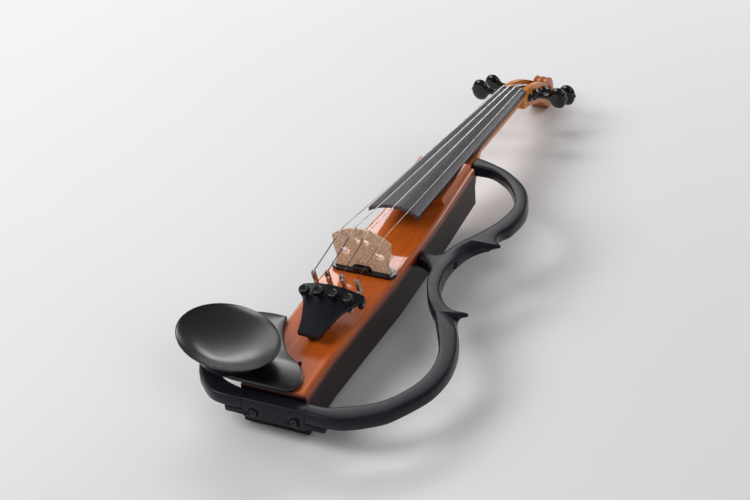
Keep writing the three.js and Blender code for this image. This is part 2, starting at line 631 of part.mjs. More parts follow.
function makeTrunk() {
  const body = asSolid(plate(trunkShape(), 0, TRUNK_DEPTH, TRUNK_EDGE, 1));
  const rebate = block(BAY_MIDDLE_X - coverHalf - SEAT_GAP, BAY_MIDDLE_X + coverHalf + SEAT_GAP,
    coverLowY - SEAT_GAP, coverHighY + SEAT_GAP, -CUT_OVERRUN, COVER_THICKNESS + SEAT_GAP);
  const bay = block(BAY_MIDDLE_X - BAY_HALF_WIDTH, BAY_MIDDLE_X + BAY_HALF_WIDTH, bayLowY, BAY_HEAD_Y, 0,
    TRUNK_DEPTH - BAY_ROOF);
  const mortise = block(-ROOT_HALF - SEAT_GAP, ROOT_HALF + SEAT_GAP, ROOT_START_Y - SEAT_GAP,
    TRUNK_HEAD + CUT_OVERRUN, ROOT_FLOOR_Z - SEAT_GAP, TRUNK_DEPTH + CUT_OVERRUN);
  const panelSeat = block(-CUT_OVERRUN, panelBack + SEAT_GAP, panelLow.v - SEAT_GAP, panelHigh.v + SEAT_GAP,
    panelLow.z - SEAT_GAP, panelHigh.z + SEAT_GAP, flankMatrix);
  const panelBay = block(0, panelBack + PANEL_BAY_DEPTH, panelLow.v + PANEL_LAND, panelHigh.v - PANEL_LAND,
    panelLow.z + PANEL_LAND, panelHigh.z - PANEL_LAND, flankMatrix);
  const leadSlot = block(onFlank(PANEL_BAY_DEPTH, 0, 0).x, BAY_MIDDLE_X, LEAD_SLOT_Y - LEAD_SLOT / 2,
    LEAD_SLOT_Y + LEAD_SLOT / 2, LEAD_SLOT_Z - LEAD_SLOT / 2, LEAD_SLOT_Z + LEAD_SLOT / 2);
  const batteryBay = block(-TRUNK_BASS - CUT_OVERRUN, batteryInnerX, BATTERY_TAIL_Y, batteryHighY, BATTERY_FLOOR_Z,
    BATTERY_ROOF_Z);
  return cut(body, rebate, bay, mortise, panelSeat, panelBay, leadSlot, batteryBay,
    rod(DOOR_PIN + SEAT_GAP, doorPinEnds[0].clone().setY(doorPinEnds[0].y - SEAT_GAP),
      doorPinEnds[1].clone().setY(doorPinEnds[1].y + SEAT_GAP), SCREW_SIDES),
    rod(LEAD_RADIUS + SEAT_GAP, leadPoints[1].clone().setZ(0), leadPoints[0].clone().setZ(TRUNK_DEPTH + CUT_OVERRUN),
      SCREW_SIDES),
    rod(POST_RADIUS + SEAT_GAP, postPlace.clone().setZ(TRUNK_DEPTH - POST_DEPTH - SEAT_GAP),
      postPlace.clone().setZ(TRUNK_DEPTH + CUT_OVERRUN), SCREW_SIDES),
    ...coverScrewPlaces.map((place) => screwHole(...coverScrewArgs, place, SCREW_SIDES)),
    ...bracketScrewStarts.map((place) => screwHole(...bracketScrewArgs, place, SCREW_SIDES)),
    ...chinScrewYs.map((y) => rod(SMALL_SHANK + SEAT_GAP, chinScrewStart(y),
      chinScrewStart(y).setZ(TRUNK_DEPTH + CUT_OVERRUN), SCREW_SIDES)),
    screwHole(...waistScrewArgs), screwHole(...heelScrewArgs));
}
add('trunk', 'varnish', makeTrunk());

function makeCover() {
  const slabOf = block(BAY_MIDDLE_X - coverHalf, BAY_MIDDLE_X + coverHalf, coverLowY, coverHighY, 0, COVER_THICKNESS);
  return cut(slabOf, ...coverScrewPlaces.map((place) => screwHole(...coverScrewArgs, place, SCREW_SIDES)));
}
add('back_cover', 'black_satin', makeCover());
['tail', 'head'].forEach((end, i) => {
  add(`back_cover_screw_${end}`, 'black_steel', screw(...coverScrewArgs, coverScrewPlaces[i], SCREW_SIDES));
});

// Neck, fingerboard and nut
const boardMatrix = new THREE.Matrix4().makeRotationX(-BOARD_TILT).setPosition(0, STRING_LENGTH, BOARD_SEAT_AT_NUT);
const onBoard = (x, y, z) => vector(x, y, z).applyMatrix4(boardMatrix);
const boardYOf = (y) => (y - STRING_LENGTH) / Math.cos(BOARD_TILT);
const boardHalfAt = (y) => THREE.MathUtils.mapLinear(y, -BOARD_LENGTH, 0, BOARD_HALF_AT_END, BOARD_HALF_AT_NUT);

// Height of the arched top over the underside, at x on a board this wide.
function boardTop(x, half) {
  const sag = (span) => BOARD_RADIUS - Math.sqrt(BOARD_RADIUS ** 2 - span ** 2);
  return BOARD_EDGE + sag(half) - sag(x);
}

function boardOutline(half, rise) {
  const arc = Array.from({ length: BOARD_ARC_STEPS + 1 }, (_, i) => {
    const x = THREE.MathUtils.lerp(half, -half, i / BOARD_ARC_STEPS);
    return new THREE.Vector2(x, boardTop(x, half) + rise);
  });
  return [new THREE.Vector2(-half, 0), new THREE.Vector2(half, 0), ...arc];
}

const fingerboard = loft([
  { y: -BOARD_LENGTH, outline: boardOutline(BOARD_HALF_AT_END, 0) },
  { y: -SEAT_GAP, outline: boardOutline(BOARD_HALF_AT_NUT, 0) },
]);
add('fingerboard', 'ebony', asSolid(fingerboard.applyMatrix4(boardMatrix)));

const nut = loft([
  { y: 0, outline: boardOutline(BOARD_HALF_AT_NUT, NUT_RISE) },
  { y: NUT_THICKNESS, outline: boardOutline(BOARD_HALF_AT_NUT, -NUT_RISE) },
]);
add('nut', 'ebony', asSolid(nut.applyMatrix4(boardMatrix)));

// Underside of the neck: a rounded section that grows squarer in the heel.
function neckOutline(half, depth, power) {
  return Array.from({ length: NECK_ARC_STEPS + 1 }, (_, i) => {
    const turn = (i / NECK_ARC_STEPS) * Math.PI;
    const across = Math.sign(Math.cos(turn)) * Math.abs(Math.cos(turn)) ** (2 / power);
    return new THREE.Vector2(half * across, -depth * Math.abs(Math.sin(turn)) ** (2 / power));
  });
}

function heelSection(share) {
  const heelY = boardYOf(TRUNK_HEAD) + HEEL_FLAT + share * HEEL_SWEEP;
  const fall = (1 - share) ** 2;
  return {
    y: heelY,
    outline: neckOutline(
      THREE.MathUtils.lerp(boardHalfAt(heelY), HEEL_HALF, fall),
      THREE.MathUtils.lerp(NECK_DEPTH_AT_HEEL, HEEL_DEPTH, fall),
      THREE.MathUtils.lerp(NECK_POWER, HEEL_POWER, fall),
    ),
  };
}

// Side profile of the pegbox and its open trough, from the nut's face. Its
// place along the box is s and its height hangs from the curved cheek line.
const pegboxStart = STRING_LENGTH;
const cheekLine = (s) => {
  const share = THREE.MathUtils.clamp(s / PEGBOX_LENGTH, 0, 1);
  const topAtNut = BOARD_SEAT_AT_NUT + CHEEK_RISE;
  return topAtNut - PEGBOX_DROP * (CHEEK_LINEAR_SHARE * share + (1 - CHEEK_LINEAR_SHARE) * share ** 2);
};
const pegboxHalfAt = (y) => THREE.MathUtils.mapLinear(
  THREE.MathUtils.clamp(y - pegboxStart, 0, PEGBOX_LENGTH), 0, PEGBOX_LENGTH, PEGBOX_HALF_AT_NUT,
  PEGBOX_HALF_AT_THROAT,
);
const profileSteps = Array.from({ length: PROFILE_STEPS + 1 }, (_, i) => i / PROFILE_STEPS);

function pegboxShape() {
  const start = NUT_THICKNESS * Math.cos(BOARD_TILT) + SEAT_GAP * 2;
  const nutFloor = onBoard(0, 0, -SEAT_GAP).z;
  const top = profileSteps.map((share) => {
    const s = THREE.MathUtils.lerp(start, PEGBOX_LENGTH, share);
    return new THREE.Vector2(pegboxStart + s, cheekLine(s));
  });
  const bottom = profileSteps.map((share) => {
    const s = share * PEGBOX_LENGTH;
    const depth = THREE.MathUtils.lerp(NECK_DEPTH_AT_NUT + CHEEK_RISE, PEGBOX_DEPTH, Math.min(share * 2, 1));
    return new THREE.Vector2(pegboxStart + s, cheekLine(s) - depth);
  });
  const nutEnd = onBoard(0, start / Math.cos(BOARD_TILT), -SEAT_GAP);
  return new THREE.Shape([
    new THREE.Vector2(pegboxStart, nutFloor), new THREE.Vector2(nutEnd.y, nutEnd.z), ...top, ...bottom.reverse(),
  ]);
}

function troughShape() {
  const steps = profileSteps.map((share) => THREE.MathUtils.lerp(troughStart, PEGBOX_LENGTH - TROUGH_END, share));
  const high = steps.map((s) => new THREE.Vector2(pegboxStart + s, cheekLine(s) + CHEEK_RISE));
  const low = steps.map((s) => new THREE.Vector2(pegboxStart + s, cheekLine(s) - PEGBOX_DEPTH + PEGBOX_FLOOR));
  return new THREE.Shape([...high, ...low.reverse()]);
}

// Narrows a slab of unit half-width to the pegbox's taper.
function tapered(geometry, inset) {
  const places = geometry.attributes.position;
  for (let i = 0; i < places.count; i += 1) {
    places.setX(i, places.getX(i) * (pegboxHalfAt(places.getY(i)) - inset));
  }
  return geometry;
}

const troughStart = NUT_THICKNESS + SEAT_GAP * 2 + TROUGH_START;
const windingTop = PEG_RADIUS + SEAT_GAP + WINDING_WALL;
const firstPeg = troughStart + windingTop + PEG_TO_TROUGH;
const lastPeg = PEGBOX_LENGTH - TROUGH_END - windingTop - PEG_TO_THROAT;
const pegPlace = (name) => {
  const s = THREE.MathUtils.lerp(firstPeg, lastPeg, PEG_PLACE_SHARES[name]);
  return vector(0, pegboxStart + s, cheekLine(s) - PEG_BELOW_CHEEK);
};
const pegSide = (name) => (name === 'g' || name === 'd' ? -1 : 1);

function makeNeck() {
  const heelStart = boardYOf(TRUNK_HEAD) - HEEL_LEAD;
  const shaft = loft([
    { y: heelStart, outline: neckOutline(HEEL_HALF, HEEL_DEPTH, HEEL_POWER) },
    ...HEEL_SWEEP_SHARES.map(heelSection),
    { y: NUT_THICKNESS, outline: neckOutline(BOARD_HALF_AT_NUT, NECK_DEPTH_AT_NUT, NECK_POWER) },
  ]);
  const beyondTrunk = block(-CUT_OVERRUN, CUT_OVERRUN, TRUNK_HEAD + SEAT_GAP, STRING_LENGTH + SEAT_GAP, -CUT_OVERRUN,
    TRUNK_DEPTH + CUT_OVERRUN);
  const root = block(-ROOT_HALF, ROOT_HALF, ROOT_START_Y, TRUNK_HEAD + SEAT_GAP * 2, ROOT_FLOOR_Z,
    TRUNK_DEPTH + SEAT_GAP * 2);
  const deckBase = new THREE.Shape([
    new THREE.Vector2(-DECK_HALF, DECK_START_Y), new THREE.Vector2(DECK_HALF, DECK_START_Y),
    new THREE.Vector2(DECK_HALF, TRUNK_HEAD + SEAT_GAP * 2), new THREE.Vector2(-DECK_HALF, TRUNK_HEAD + SEAT_GAP * 2),
  ]);
  const deck = asSolid(new THREE.ExtrudeGeometry(deckBase, {
    depth: SEAT_GAP,
    bevelThickness: DECK_HEIGHT,
    bevelSize: DECK_SIDE_SLOPE,
    bevelOffset: -DECK_SIDE_SLOPE,
    bevelSegments: 1,
  }).translate(0, 0, TRUNK_DEPTH + SEAT_GAP));
  const aboveTrunk = block(-DECK_HALF, DECK_HALF, DECK_START_Y, TRUNK_HEAD + SEAT_GAP * 2,
    TRUNK_DEPTH + SEAT_GAP, TRUNK_DEPTH + CUT_OVERRUN);
  const boardRoom = asSolid(loft([
    { y: -BOARD_LENGTH, outline: roomOutline(BOARD_HALF_AT_END) },
    { y: 0, outline: roomOutline(BOARD_HALF_AT_NUT) },
  ]).applyMatrix4(boardMatrix));
  const wholeDeck = deck.intersect(aboveTrunk);
  const pegbox = asSolid(tapered(slab(pegboxShape(), 0, 1, 1), 0));
  const trough = asSolid(tapered(slab(troughShape(), 0, 1, 1), PEGBOX_WALL));
  const eye = (half) => vector(-half, pegboxStart + PEGBOX_LENGTH + SCROLL_AHEAD,
    cheekLine(PEGBOX_LENGTH) - SCROLL_BELOW_CHEEK);
  const turns = SCROLL_TURN_SHARES.map((share) => rod(share.radius * SCROLL_RADIUS, eye(share.half * SCROLL_HALF),
    eye(-share.half * SCROLL_HALF), SCROLL_SIDES));
  const whole = join(asSolid(shaft.applyMatrix4(boardMatrix)).intersect(beyondTrunk), root, wholeDeck, pegbox,
    ...turns);
  const pegHoles = STRING_NAMES.map((name) => {
    const place = pegPlace(name);
    return rod(PEG_RADIUS + TURN_GAP, place.clone().setX(-CUT_OVERRUN), place.clone().setX(CUT_OVERRUN),
      WINDING_SIDES);
  });
  return cut(whole, boardRoom, trough, ...pegHoles, screwHole(...heelScrewArgs));
}
function roomOutline(half) {
  const wide = half + SEAT_GAP;
  return [
    new THREE.Vector2(-wide, -SEAT_GAP), new THREE.Vector2(wide, -SEAT_GAP), new THREE.Vector2(wide, CUT_OVERRUN),
    new THREE.Vector2(-wide, CUT_OVERRUN),
  ];
}
add('neck', 'pale_varnish', makeNeck());

// Pegs, with the string's turns around each
function makePeg(name) {
  const place = pegPlace(name);
  const side = pegSide(name);
  const cheek = pegboxHalfAt(place.y);
  const collar = cheek + TURN_GAP;
  const waist = collar + PEG_COLLAR_LENGTH;
  const head = waist + PEG_WAIST_LENGTH;
  const tip = -cheek - PEG_OVERHANG;
  const profile = [
    [0, tip], [PEG_RADIUS, tip], [PEG_RADIUS, collar], [PEG_COLLAR_RADIUS, collar], [PEG_COLLAR_RADIUS, waist],
    [PEG_WAIST_RADIUS, waist], [PEG_WAIST_RADIUS, head + PEG_WAIST_RADIUS], [0, head + PEG_WAIST_RADIUS],
  ];
  const axis = X_AXIS.clone().multiplyScalar(side);
  const shaft = turned(profile, axis, place, PEG_SIDES);
  const disc = new THREE.SphereGeometry(1, PEG_HEAD_SIDES, PEG_HEAD_SIDES / 2);
  disc.scale(PEG_HEAD_LENGTH / 2, PEG_HEAD_THICKNESS / 2, PEG_HEAD_WIDTH / 2);
  disc.translate(side * (head + PEG_HEAD_LENGTH / 2), place.y, place.z);
  return join(shaft, asSolid(disc));
}

const pegRoomHalf = (name) => pegboxHalfAt(pegPlace(name).y) - PEGBOX_WALL;
const windingX = (name) => WINDING_PLACE_SHARES[name] * pegRoomHalf(name);

function makeWinding(name) {
  const inner = PEG_RADIUS + SEAT_GAP;
  const profile = [
    [inner, 0], [windingTop, 0], [windingTop, WINDING_LENGTH], [inner, WINDING_LENGTH], [inner, 0],
  ];
  const place = pegPlace(name).setX(windingX(name) - WINDING_LENGTH / 2);
  return turned(profile, X_AXIS, place, WINDING_SIDES);
}
STRING_NAMES.forEach((name) => {
  add(`peg_${name}`, 'black_gloss', makePeg(name));
  add(`peg_winding_${name}`, 'steel', makeWinding(name));
});

// Pickup and bridge
const pickupTop = TRUNK_DEPTH + SEAT_GAP + PICKUP_HEIGHT;

function pickupShape() {
  const shape = new THREE.Shape();
  shape.absarc(PICKUP_TREBLE - PICKUP_HALF_WIDTH, 0, PICKUP_HALF_WIDTH, -Math.PI / 2, Math.PI / 2, false);
  shape.absarc(PICKUP_HALF_WIDTH - PICKUP_BASS, 0, PICKUP_HALF_WIDTH, Math.PI / 2, Math.PI * 1.5, false);
  return shape;
}
const archHalf = BRIDGE_ARCH_HALF_SHARE * BRIDGE_HALF;
add('bridge_pickup', 'black_gloss', join(
  asSolid(plate(pickupShape(), TRUNK_DEPTH + SEAT_GAP, pickupTop, 0, BOARD_ARC_STEPS / 2)),
  block(BRIDGE_CROWN_X - archHalf * PICKUP_BLOCK_SHARE, BRIDGE_CROWN_X + archHalf * PICKUP_BLOCK_SHARE,
    -PICKUP_HALF_WIDTH, PICKUP_HALF_WIDTH, TRUNK_DEPTH + SEAT_GAP, pickupTop + PICKUP_BLOCK_HEIGHT),
));

const bridgeFoot = pickupTop + SEAT_GAP;
const bridgeCrown = bridgeFoot + BRIDGE_HEIGHT;
function bridgeTopAt(x) {
  return bridgeCrown - BRIDGE_CROWN_RADIUS + Math.sqrt(BRIDGE_CROWN_RADIUS ** 2 - (x - BRIDGE_CROWN_X) ** 2);
}

function bridgeOutline() {
  const sides = BRIDGE_SIDE_SHARES.map(([x, z]) => [x * BRIDGE_HALF, bridgeFoot + z * BRIDGE_HEIGHT]);
  const topSteps = Array.from({ length: BOARD_ARC_STEPS + 1 }, (_, i) => i / BOARD_ARC_STEPS);
  const top = topSteps.map((share) => {
    const x = BRIDGE_CROWN_X + BRIDGE_HALF * (1 - 2 * share);
    return new THREE.Vector2(x, bridgeTopAt(x));
  });
  const down = sides.map(([x, z]) => new THREE.Vector2(BRIDGE_CROWN_X - x, z));
  const up = sides.map(([x, z]) => new THREE.Vector2(BRIDGE_CROWN_X + x, z)).reverse();
  const arch = BRIDGE_ARCH_SIDE_SHARES.map((share) => new THREE.Vector2(
    BRIDGE_CROWN_X + share * archHalf, bridgeFoot + (1 - share ** BRIDGE_ARCH_POWER) * BRIDGE_ARCH_HEIGHT,
  ));
  return new THREE.Shape([...top, ...down, ...arch, ...up]);
}

function makeBridge() {
  const geometry = new THREE.ExtrudeGeometry(bridgeOutline(), { depth: BRIDGE_FOOT_THICKNESS, bevelEnabled: false });
  geometry.translate(0, 0, -BRIDGE_FOOT_THICKNESS / 2);
  geometry.applyMatrix4(new THREE.Matrix4().makeBasis(X_AXIS, Z_AXIS, Y_AXIS));
  const places = geometry.attributes.position;
  for (let i = 0; i < places.count; i += 1) {
    const rise = (places.getZ(i) - bridgeFoot) / BRIDGE_HEIGHT;
    places.setY(i, places.getY(i) * THREE.MathUtils.lerp(1, BRIDGE_TOP_THICKNESS / BRIDGE_FOOT_THICKNESS, rise));
  }
  const across = (x, rise, radius, stretch) => {
    const hole = new THREE.CylinderGeometry(radius, radius, CUT_OVERRUN, BRIDGE_HOLE_SIDES);
    hole.scale(stretch, 1, 1);
    return asSolid(hole.translate(BRIDGE_CROWN_X + x, 0, bridgeFoot + rise));
  };
  const stretch = KIDNEY_HALF_LENGTH / KIDNEY_HALF_HEIGHT;
  return cut(asSolid(geometry),
    across(-HEART_HALF_SPAN, HEART_RISE, HEART_RADIUS, 1), across(HEART_HALF_SPAN, HEART_RISE, HEART_RADIUS, 1),
    across(-KIDNEY_X, KIDNEY_RISE, KIDNEY_HALF_HEIGHT, stretch),
    across(KIDNEY_X, KIDNEY_RISE, KIDNEY_HALF_HEIGHT, stretch));
}
add('bridge', 'maple', makeBridge());

// Tailpiece with its four tuners
const tailMatrix = new THREE.Matrix4().makeRotationX(TAILPIECE_TILT)
  .setPosition(TAILPIECE_X, TAILPIECE_BACK_Y, TRUNK_DEPTH + TAILPIECE_BACK_RISE);
const onTail = (x, y, z) => vector(x, y, z).applyMatrix4(tailMatrix);
const tailDrop = (x, y) => TAILPIECE_DROP * (x / TAILPIECE_HALF) ** 2 * (y / TAILPIECE_LENGTH);
const tailStringX = (i) => STRING_PLACE_SHARES[i] * STRING_PITCH_AT_TAIL;

function tailSection([share, halfShare]) {
  const y = share * TAILPIECE_LENGTH;
  const half = halfShare * TAILPIECE_HALF;
  const steps = Array.from({ length: TAILPIECE_ARC_STEPS + 1 }, (_, i) => 1 - (2 * i) / TAILPIECE_ARC_STEPS);
  const top = steps.map((side) => new THREE.Vector2(side * half, -tailDrop(side * half, y)));
  const under = steps.map((side) => {
    const x = -side * (half - (Math.abs(side) === 1 ? 0 : SEAT_GAP));
    return new THREE.Vector2(x, -tailDrop(x, y) - TAILPIECE_THICKNESS);
  });
  return { y, outline: [...top, ...under] };
}

const axleY = TAILPIECE_LENGTH - AXLE_BACK;
const axleZ = -AXLE_BELOW;
const lugOuter = TAILPIECE_HALF - SEAT_GAP;
const tunerY = TAILPIECE_LENGTH - TUNER_BACK;
const leverTop = axleZ + LEVER_THICKNESS / 2;

function makeTailpiece() {
  const shell = asSolid(loft(TAILPIECE_HALF_SHARES.map(tailSection)).applyMatrix4(tailMatrix));
  const lug = (side) => block(Math.min(side * lugOuter, side * (lugOuter - LUG_WIDTH)),
    Math.max(side * lugOuter, side * (lugOuter - LUG_WIDTH)), axleY - LUG_LENGTH / 2, axleY + LUG_LENGTH / 2,
    axleZ - LUG_BELOW_AXLE, -TAILPIECE_DROP - TAILPIECE_THICKNESS / 2, tailMatrix);
  const gutBlock = block(-GUT_BLOCK_HALF, GUT_BLOCK_HALF, GUT_BLOCK_START, GUT_BLOCK_START + GUT_BLOCK_LENGTH,
    -GUT_BLOCK_BELOW, -TAILPIECE_THICKNESS / 2, tailMatrix);
  const axleHole = rod(AXLE_RADIUS + SEAT_GAP, vector(-TAILPIECE_HALF - CUT_OVERRUN, axleY, axleZ),
    vector(TAILPIECE_HALF + CUT_OVERRUN, axleY, axleZ), SCREW_SIDES, tailMatrix);
  const tunerHoles = STRING_NAMES.map((_, i) => rod(TUNER_SHANK + TURN_GAP,
    vector(tailStringX(i), tunerY, -CUT_OVERRUN), vector(tailStringX(i), tunerY, CUT_OVERRUN), WINDING_SIDES,
    tailMatrix));
  return cut(join(shell, lug(-1), lug(1), gutBlock), axleHole, ...tunerHoles);
}
add('tailpiece', 'black_satin', makeTailpiece());
add('tuner_axle', 'steel', rod(AXLE_RADIUS, vector(-lugOuter, axleY, axleZ), vector(lugOuter, axleY, axleZ),
  SCREW_SIDES, tailMatrix));

// Each lever is an arm under the tailpiece and a claw in front of it.
function makeLever(i) {
  const clawBack = TAILPIECE_LENGTH + CLAW_AHEAD - LEVER_THICKNESS;
  const clawFront = TAILPIECE_LENGTH + CLAW_AHEAD;
  const half = LEVER_WIDTH / 2;
  const x = tailStringX(i);
  const arm = block(x - half, x + half, axleY - LEVER_REACH, clawFront, axleZ - LEVER_THICKNESS / 2, leverTop,
    tailMatrix);
  const claw = block(x - half, x + half, clawBack, clawFront, axleZ - LEVER_THICKNESS / 2,
    CLAW_RISE - tailDrop(x, TAILPIECE_LENGTH), tailMatrix);
  const hub = rod(LEVER_HUB_RADIUS, vector(x - half, axleY, axleZ), vector(x + half, axleY, axleZ), WINDING_SIDES,
    tailMatrix);
  const bore = rod(AXLE_RADIUS + TURN_GAP, vector(x - LEVER_WIDTH, axleY, axleZ),
    vector(x + LEVER_WIDTH, axleY, axleZ), WINDING_SIDES, tailMatrix);
  return cut(join(arm, claw, hub), bore);
}

function makeTuner(i) {
  const x = tailStringX(i);
  const top = -tailDrop(x, tunerY) + TUNER_HEAD_RISE;
  const tip = leverTop + SEAT_GAP;
  const flutes = Array.from({ length: TUNER_FLUTES * 2 }, (_, k) => {
    const radius = TUNER_HEAD_RADIUS * (k % 2 === 0 ? 1 : TUNER_FLUTE_SHARE);
    const turn = (k / TUNER_FLUTES) * Math.PI;
    return new THREE.Vector2(x + radius * Math.cos(turn), tunerY + radius * Math.sin(turn));
  });
  const head = plate(new THREE.Shape(flutes), top, top + TUNER_HEAD_HEIGHT, 0, 1);
  const shank = rod(TUNER_SHANK, vector(x, tunerY, tip), vector(x, tunerY, top + TUNER_HEAD_HEIGHT / 2),
    SCREW_SIDES, tailMatrix);
  return join(asSolid(head.applyMatrix4(tailMatrix)), shank);
}
STRING_NAMES.forEach((name, i) => {
  add(`tuner_lever_${name}`, 'nickel', makeLever(i));
  add(`tuner_screw_${name}`, 'black_steel', makeTuner(i));
});

// Anchor post and the gut loop that holds the tailpiece to it
add('tail_post', 'steel', rod(POST_RADIUS, postPlace.clone().setZ(TRUNK_DEPTH - POST_DEPTH),
  postPlace.clone().setZ(TRUNK_DEPTH + POST_RISE), WINDING_SIDES));

function gutRoute() {
  const bend = POST_RADIUS + SEAT_GAP + GUT_RADIUS;
  const end = onTail(bend, GUT_BLOCK_START - SEAT_GAP, -GUT_BLOCK_BELOW + GUT_RADIUS * 2);
  const height = TRUNK_DEPTH + GUT_RISE;
  const turns = Array.from({ length: GUT_BEND_STEPS + 1 }, (_, i) => {
    const turn = -(i / GUT_BEND_STEPS) * Math.PI;
    return vector(postPlace.x + bend * Math.cos(turn), postPlace.y + bend * Math.sin(turn), height);
  });
  return [end, ...turns, end.clone().setX(postPlace.x - bend)];
}
add('tail_gut', 'gut_black', asSolid(cord(gutRoute(), GUT_RADIUS, STRING_SIDES)));

// Strings, from the claws over the bridge and the nut to the windings
function stringRoute(i) {
  const name = STRING_NAMES[i];
  const radius = STRING_RADII[i];
  const step = STRING_PLACE_SHARES[i];
  const x = tailStringX(i);
  const clawZ = CLAW_RISE - tailDrop(x, TAILPIECE_LENGTH) - radius * 2;
  const claw = onTail(x, TAILPIECE_LENGTH + CLAW_AHEAD + SEAT_GAP, clawZ);
  const overBridge = step * STRING_PITCH_AT_BRIDGE;
  const bridgeHalf = BRIDGE_TOP_THICKNESS / 2;
  const bridgeZ = bridgeTopAt(overBridge) + radius + SEAT_GAP;
  const overNut = step * STRING_PITCH_AT_NUT;
  const nutZ = boardTop(overNut, BOARD_HALF_AT_NUT) + NUT_RISE + radius + SEAT_GAP;
  const nutFront = onBoard(overNut, 0, nutZ);
  const nutBack = onBoard(overNut, NUT_THICKNESS / 2, nutZ);
  const winding = pegPlace(name).setX(windingX(name));
  winding.z += windingTop + radius + SEAT_GAP;
  return [
    claw, vector(overBridge, -bridgeHalf, bridgeZ), vector(overBridge, bridgeHalf, bridgeZ), nutFront, nutBack, winding,
  ];
}
STRING_NAMES.forEach((name, i) => {
  add(`string_${name}`, 'steel', asSolid(cord(stringRoute(i), STRING_RADII[i], STRING_SIDES)));
});

// Side frame, arm and tail bracket
const framePoint = ([x, y]) => new THREE.Vector2(x * FRAME_REACH, frameY(y));
const frameFloor = FRAME_TOP - FRAME_DEPTH;
const bracketSide = BRACKET_HALF + SEAT_GAP;
const heelSide = seatSideAt(frameY(1)) + SEAT_GAP;
const frameEndLowY = -TRUNK_TAIL - BRACKET_LENGTH;
const frameEndHighY = -TRUNK_TAIL + SEAT_GAP * 4;

function frameShape() {
  const stubLow = frameY(FRAME_STUB_LOW_SHARE);
  const stubHigh = frameY(FRAME_STUB_HIGH_SHARE);
  const shape = new THREE.Shape();
  shape.moveTo(heelSide, frameY(1));
  shape.splineThru(FRAME_OUTER_SHARES.map(framePoint));
  FRAME_UPPER_TIP_SHARES.map(framePoint).forEach((p) => shape.lineTo(p.x, p.y));
  shape.splineThru(FRAME_WAIST_SHARES.map(framePoint));
  FRAME_LOWER_TIP_SHARES.map(framePoint).forEach((p) => shape.lineTo(p.x, p.y));
  shape.splineThru([...FRAME_LOWER_SHARES.map(framePoint), new THREE.Vector2(bracketSide, frameEndLowY)]);
  shape.lineTo(bracketSide, frameEndHighY);
  shape.splineThru(FRAME_INNER_LOWER_SHARES.map(framePoint));
  shape.lineTo(trebleAt(stubLow) + SEAT_GAP, stubLow);
  shape.lineTo(trebleAt(stubHigh) + SEAT_GAP, stubHigh);
  shape.splineThru(FRAME_INNER_UPPER_SHARES.map(framePoint));
  shape.lineTo(heelSide, frameY(FRAME_HEEL_LOW_SHARE));
  return shape;
}

// The arm repeats the frame's first stretch on the bass side, drawn in to its
// own reach beyond the bracket.
function armPoint(share) {
  const { x, y } = framePoint(share);
  const drawnIn = THREE.MathUtils.mapLinear(x, WING_HALF, FRAME_REACH, WING_HALF, ARM_REACH);
  return new THREE.Vector2(-(x > WING_HALF ? drawnIn : x), y);
}

function armShape() {
  const outer = FRAME_LOWER_SHARES.slice(-ARM_OUTER_COUNT).map(armPoint);
  const inner = FRAME_INNER_LOWER_SHARES.slice(1, ARM_INNER_COUNT).map(armPoint);
  const innerEnd = inner[inner.length - 1];
  const shape = new THREE.Shape();
  shape.moveTo(-bracketSide, frameEndLowY);
  shape.splineThru([...outer].reverse());
  shape.splineThru([
    outer[0].clone().add(innerEnd).divideScalar(2).add(new THREE.Vector2(0, ARM_END_ROUND)), innerEnd,
  ]);
  shape.splineThru([...inner].reverse().slice(1));
  shape.lineTo(-TRUNK_BASS - SEAT_GAP * 2, -TRUNK_TAIL - SEAT_GAP * 2);
  shape.lineTo(-bracketSide, -TRUNK_TAIL - SEAT_GAP * 2);
  return shape;
}

const wingRoof = frameFloor - SEAT_GAP;
const wingScrewArgs = (side) => [
  FRAME_HEAD, FRAME_HEAD_HEIGHT, FRAME_SHANK, wingRoof - WING_FLOOR - FRAME_HEAD_HEIGHT + WING_SCREW_BITE, Z_AXIS,
  vector(side * WING_SCREW_X, -TRUNK_TAIL - BRACKET_LENGTH / 2, WING_FLOOR), SCREW_SIDES,
];

add('side_frame', 'black_satin', cut(asSolid(plate(frameShape(), frameFloor, FRAME_TOP, FRAME_EDGE, FRAME_CURVE_STEPS)),
  screwHole(...heelScrewArgs), screwHole(...waistScrewArgs), screwHole(...wingScrewArgs(1))));
add('shoulder_arm', 'black_satin', cut(asSolid(plate(armShape(), frameFloor, FRAME_TOP, FRAME_EDGE, FRAME_CURVE_STEPS)),
  screwHole(...wingScrewArgs(-1))));
add('frame_screw_heel', 'black_steel', screw(...heelScrewArgs));
add('frame_screw_waist', 'black_steel', screw(...waistScrewArgs));
add('frame_screw_tail', 'black_steel', screw(...wingScrewArgs(1)));
add('arm_screw', 'black_steel', screw(...wingScrewArgs(-1)));

const bracketLow = -TRUNK_TAIL - BRACKET_LENGTH;
const bracketHigh = -TRUNK_TAIL - SEAT_GAP;
add('tail_bracket', 'black_gloss', cut(
  join(block(-BRACKET_HALF, BRACKET_HALF, bracketLow, bracketHigh, BRACKET_FLOOR, BRACKET_ROOF),
    block(-WING_HALF, WING_HALF, bracketLow, bracketHigh, WING_FLOOR, wingRoof)),
  screwHole(...wingScrewArgs(1)), screwHole(...wingScrewArgs(-1)),
  ...bracketScrewStarts.map((place) => screwHole(...bracketScrewArgs, place, SCREW_SIDES)),
));
['left', 'right'].forEach((side, i) => {
  add(`bracket_screw_${side}`, 'black_steel', screw(...bracketScrewArgs, bracketScrewStarts[i], SCREW_SIDES));
});

// Chin rest: a thin plate on the trunk that rises into a dished oval cup
const chinFloor = TRUNK_DEPTH + SEAT_GAP;
const chinRoof = chinFloor + CHIN_PLATE;
const chinPoint = (across) => ([x, y]) => new THREE.Vector2(x * across, CHIN_TAIL_Y + y * CHIN_SPAN);

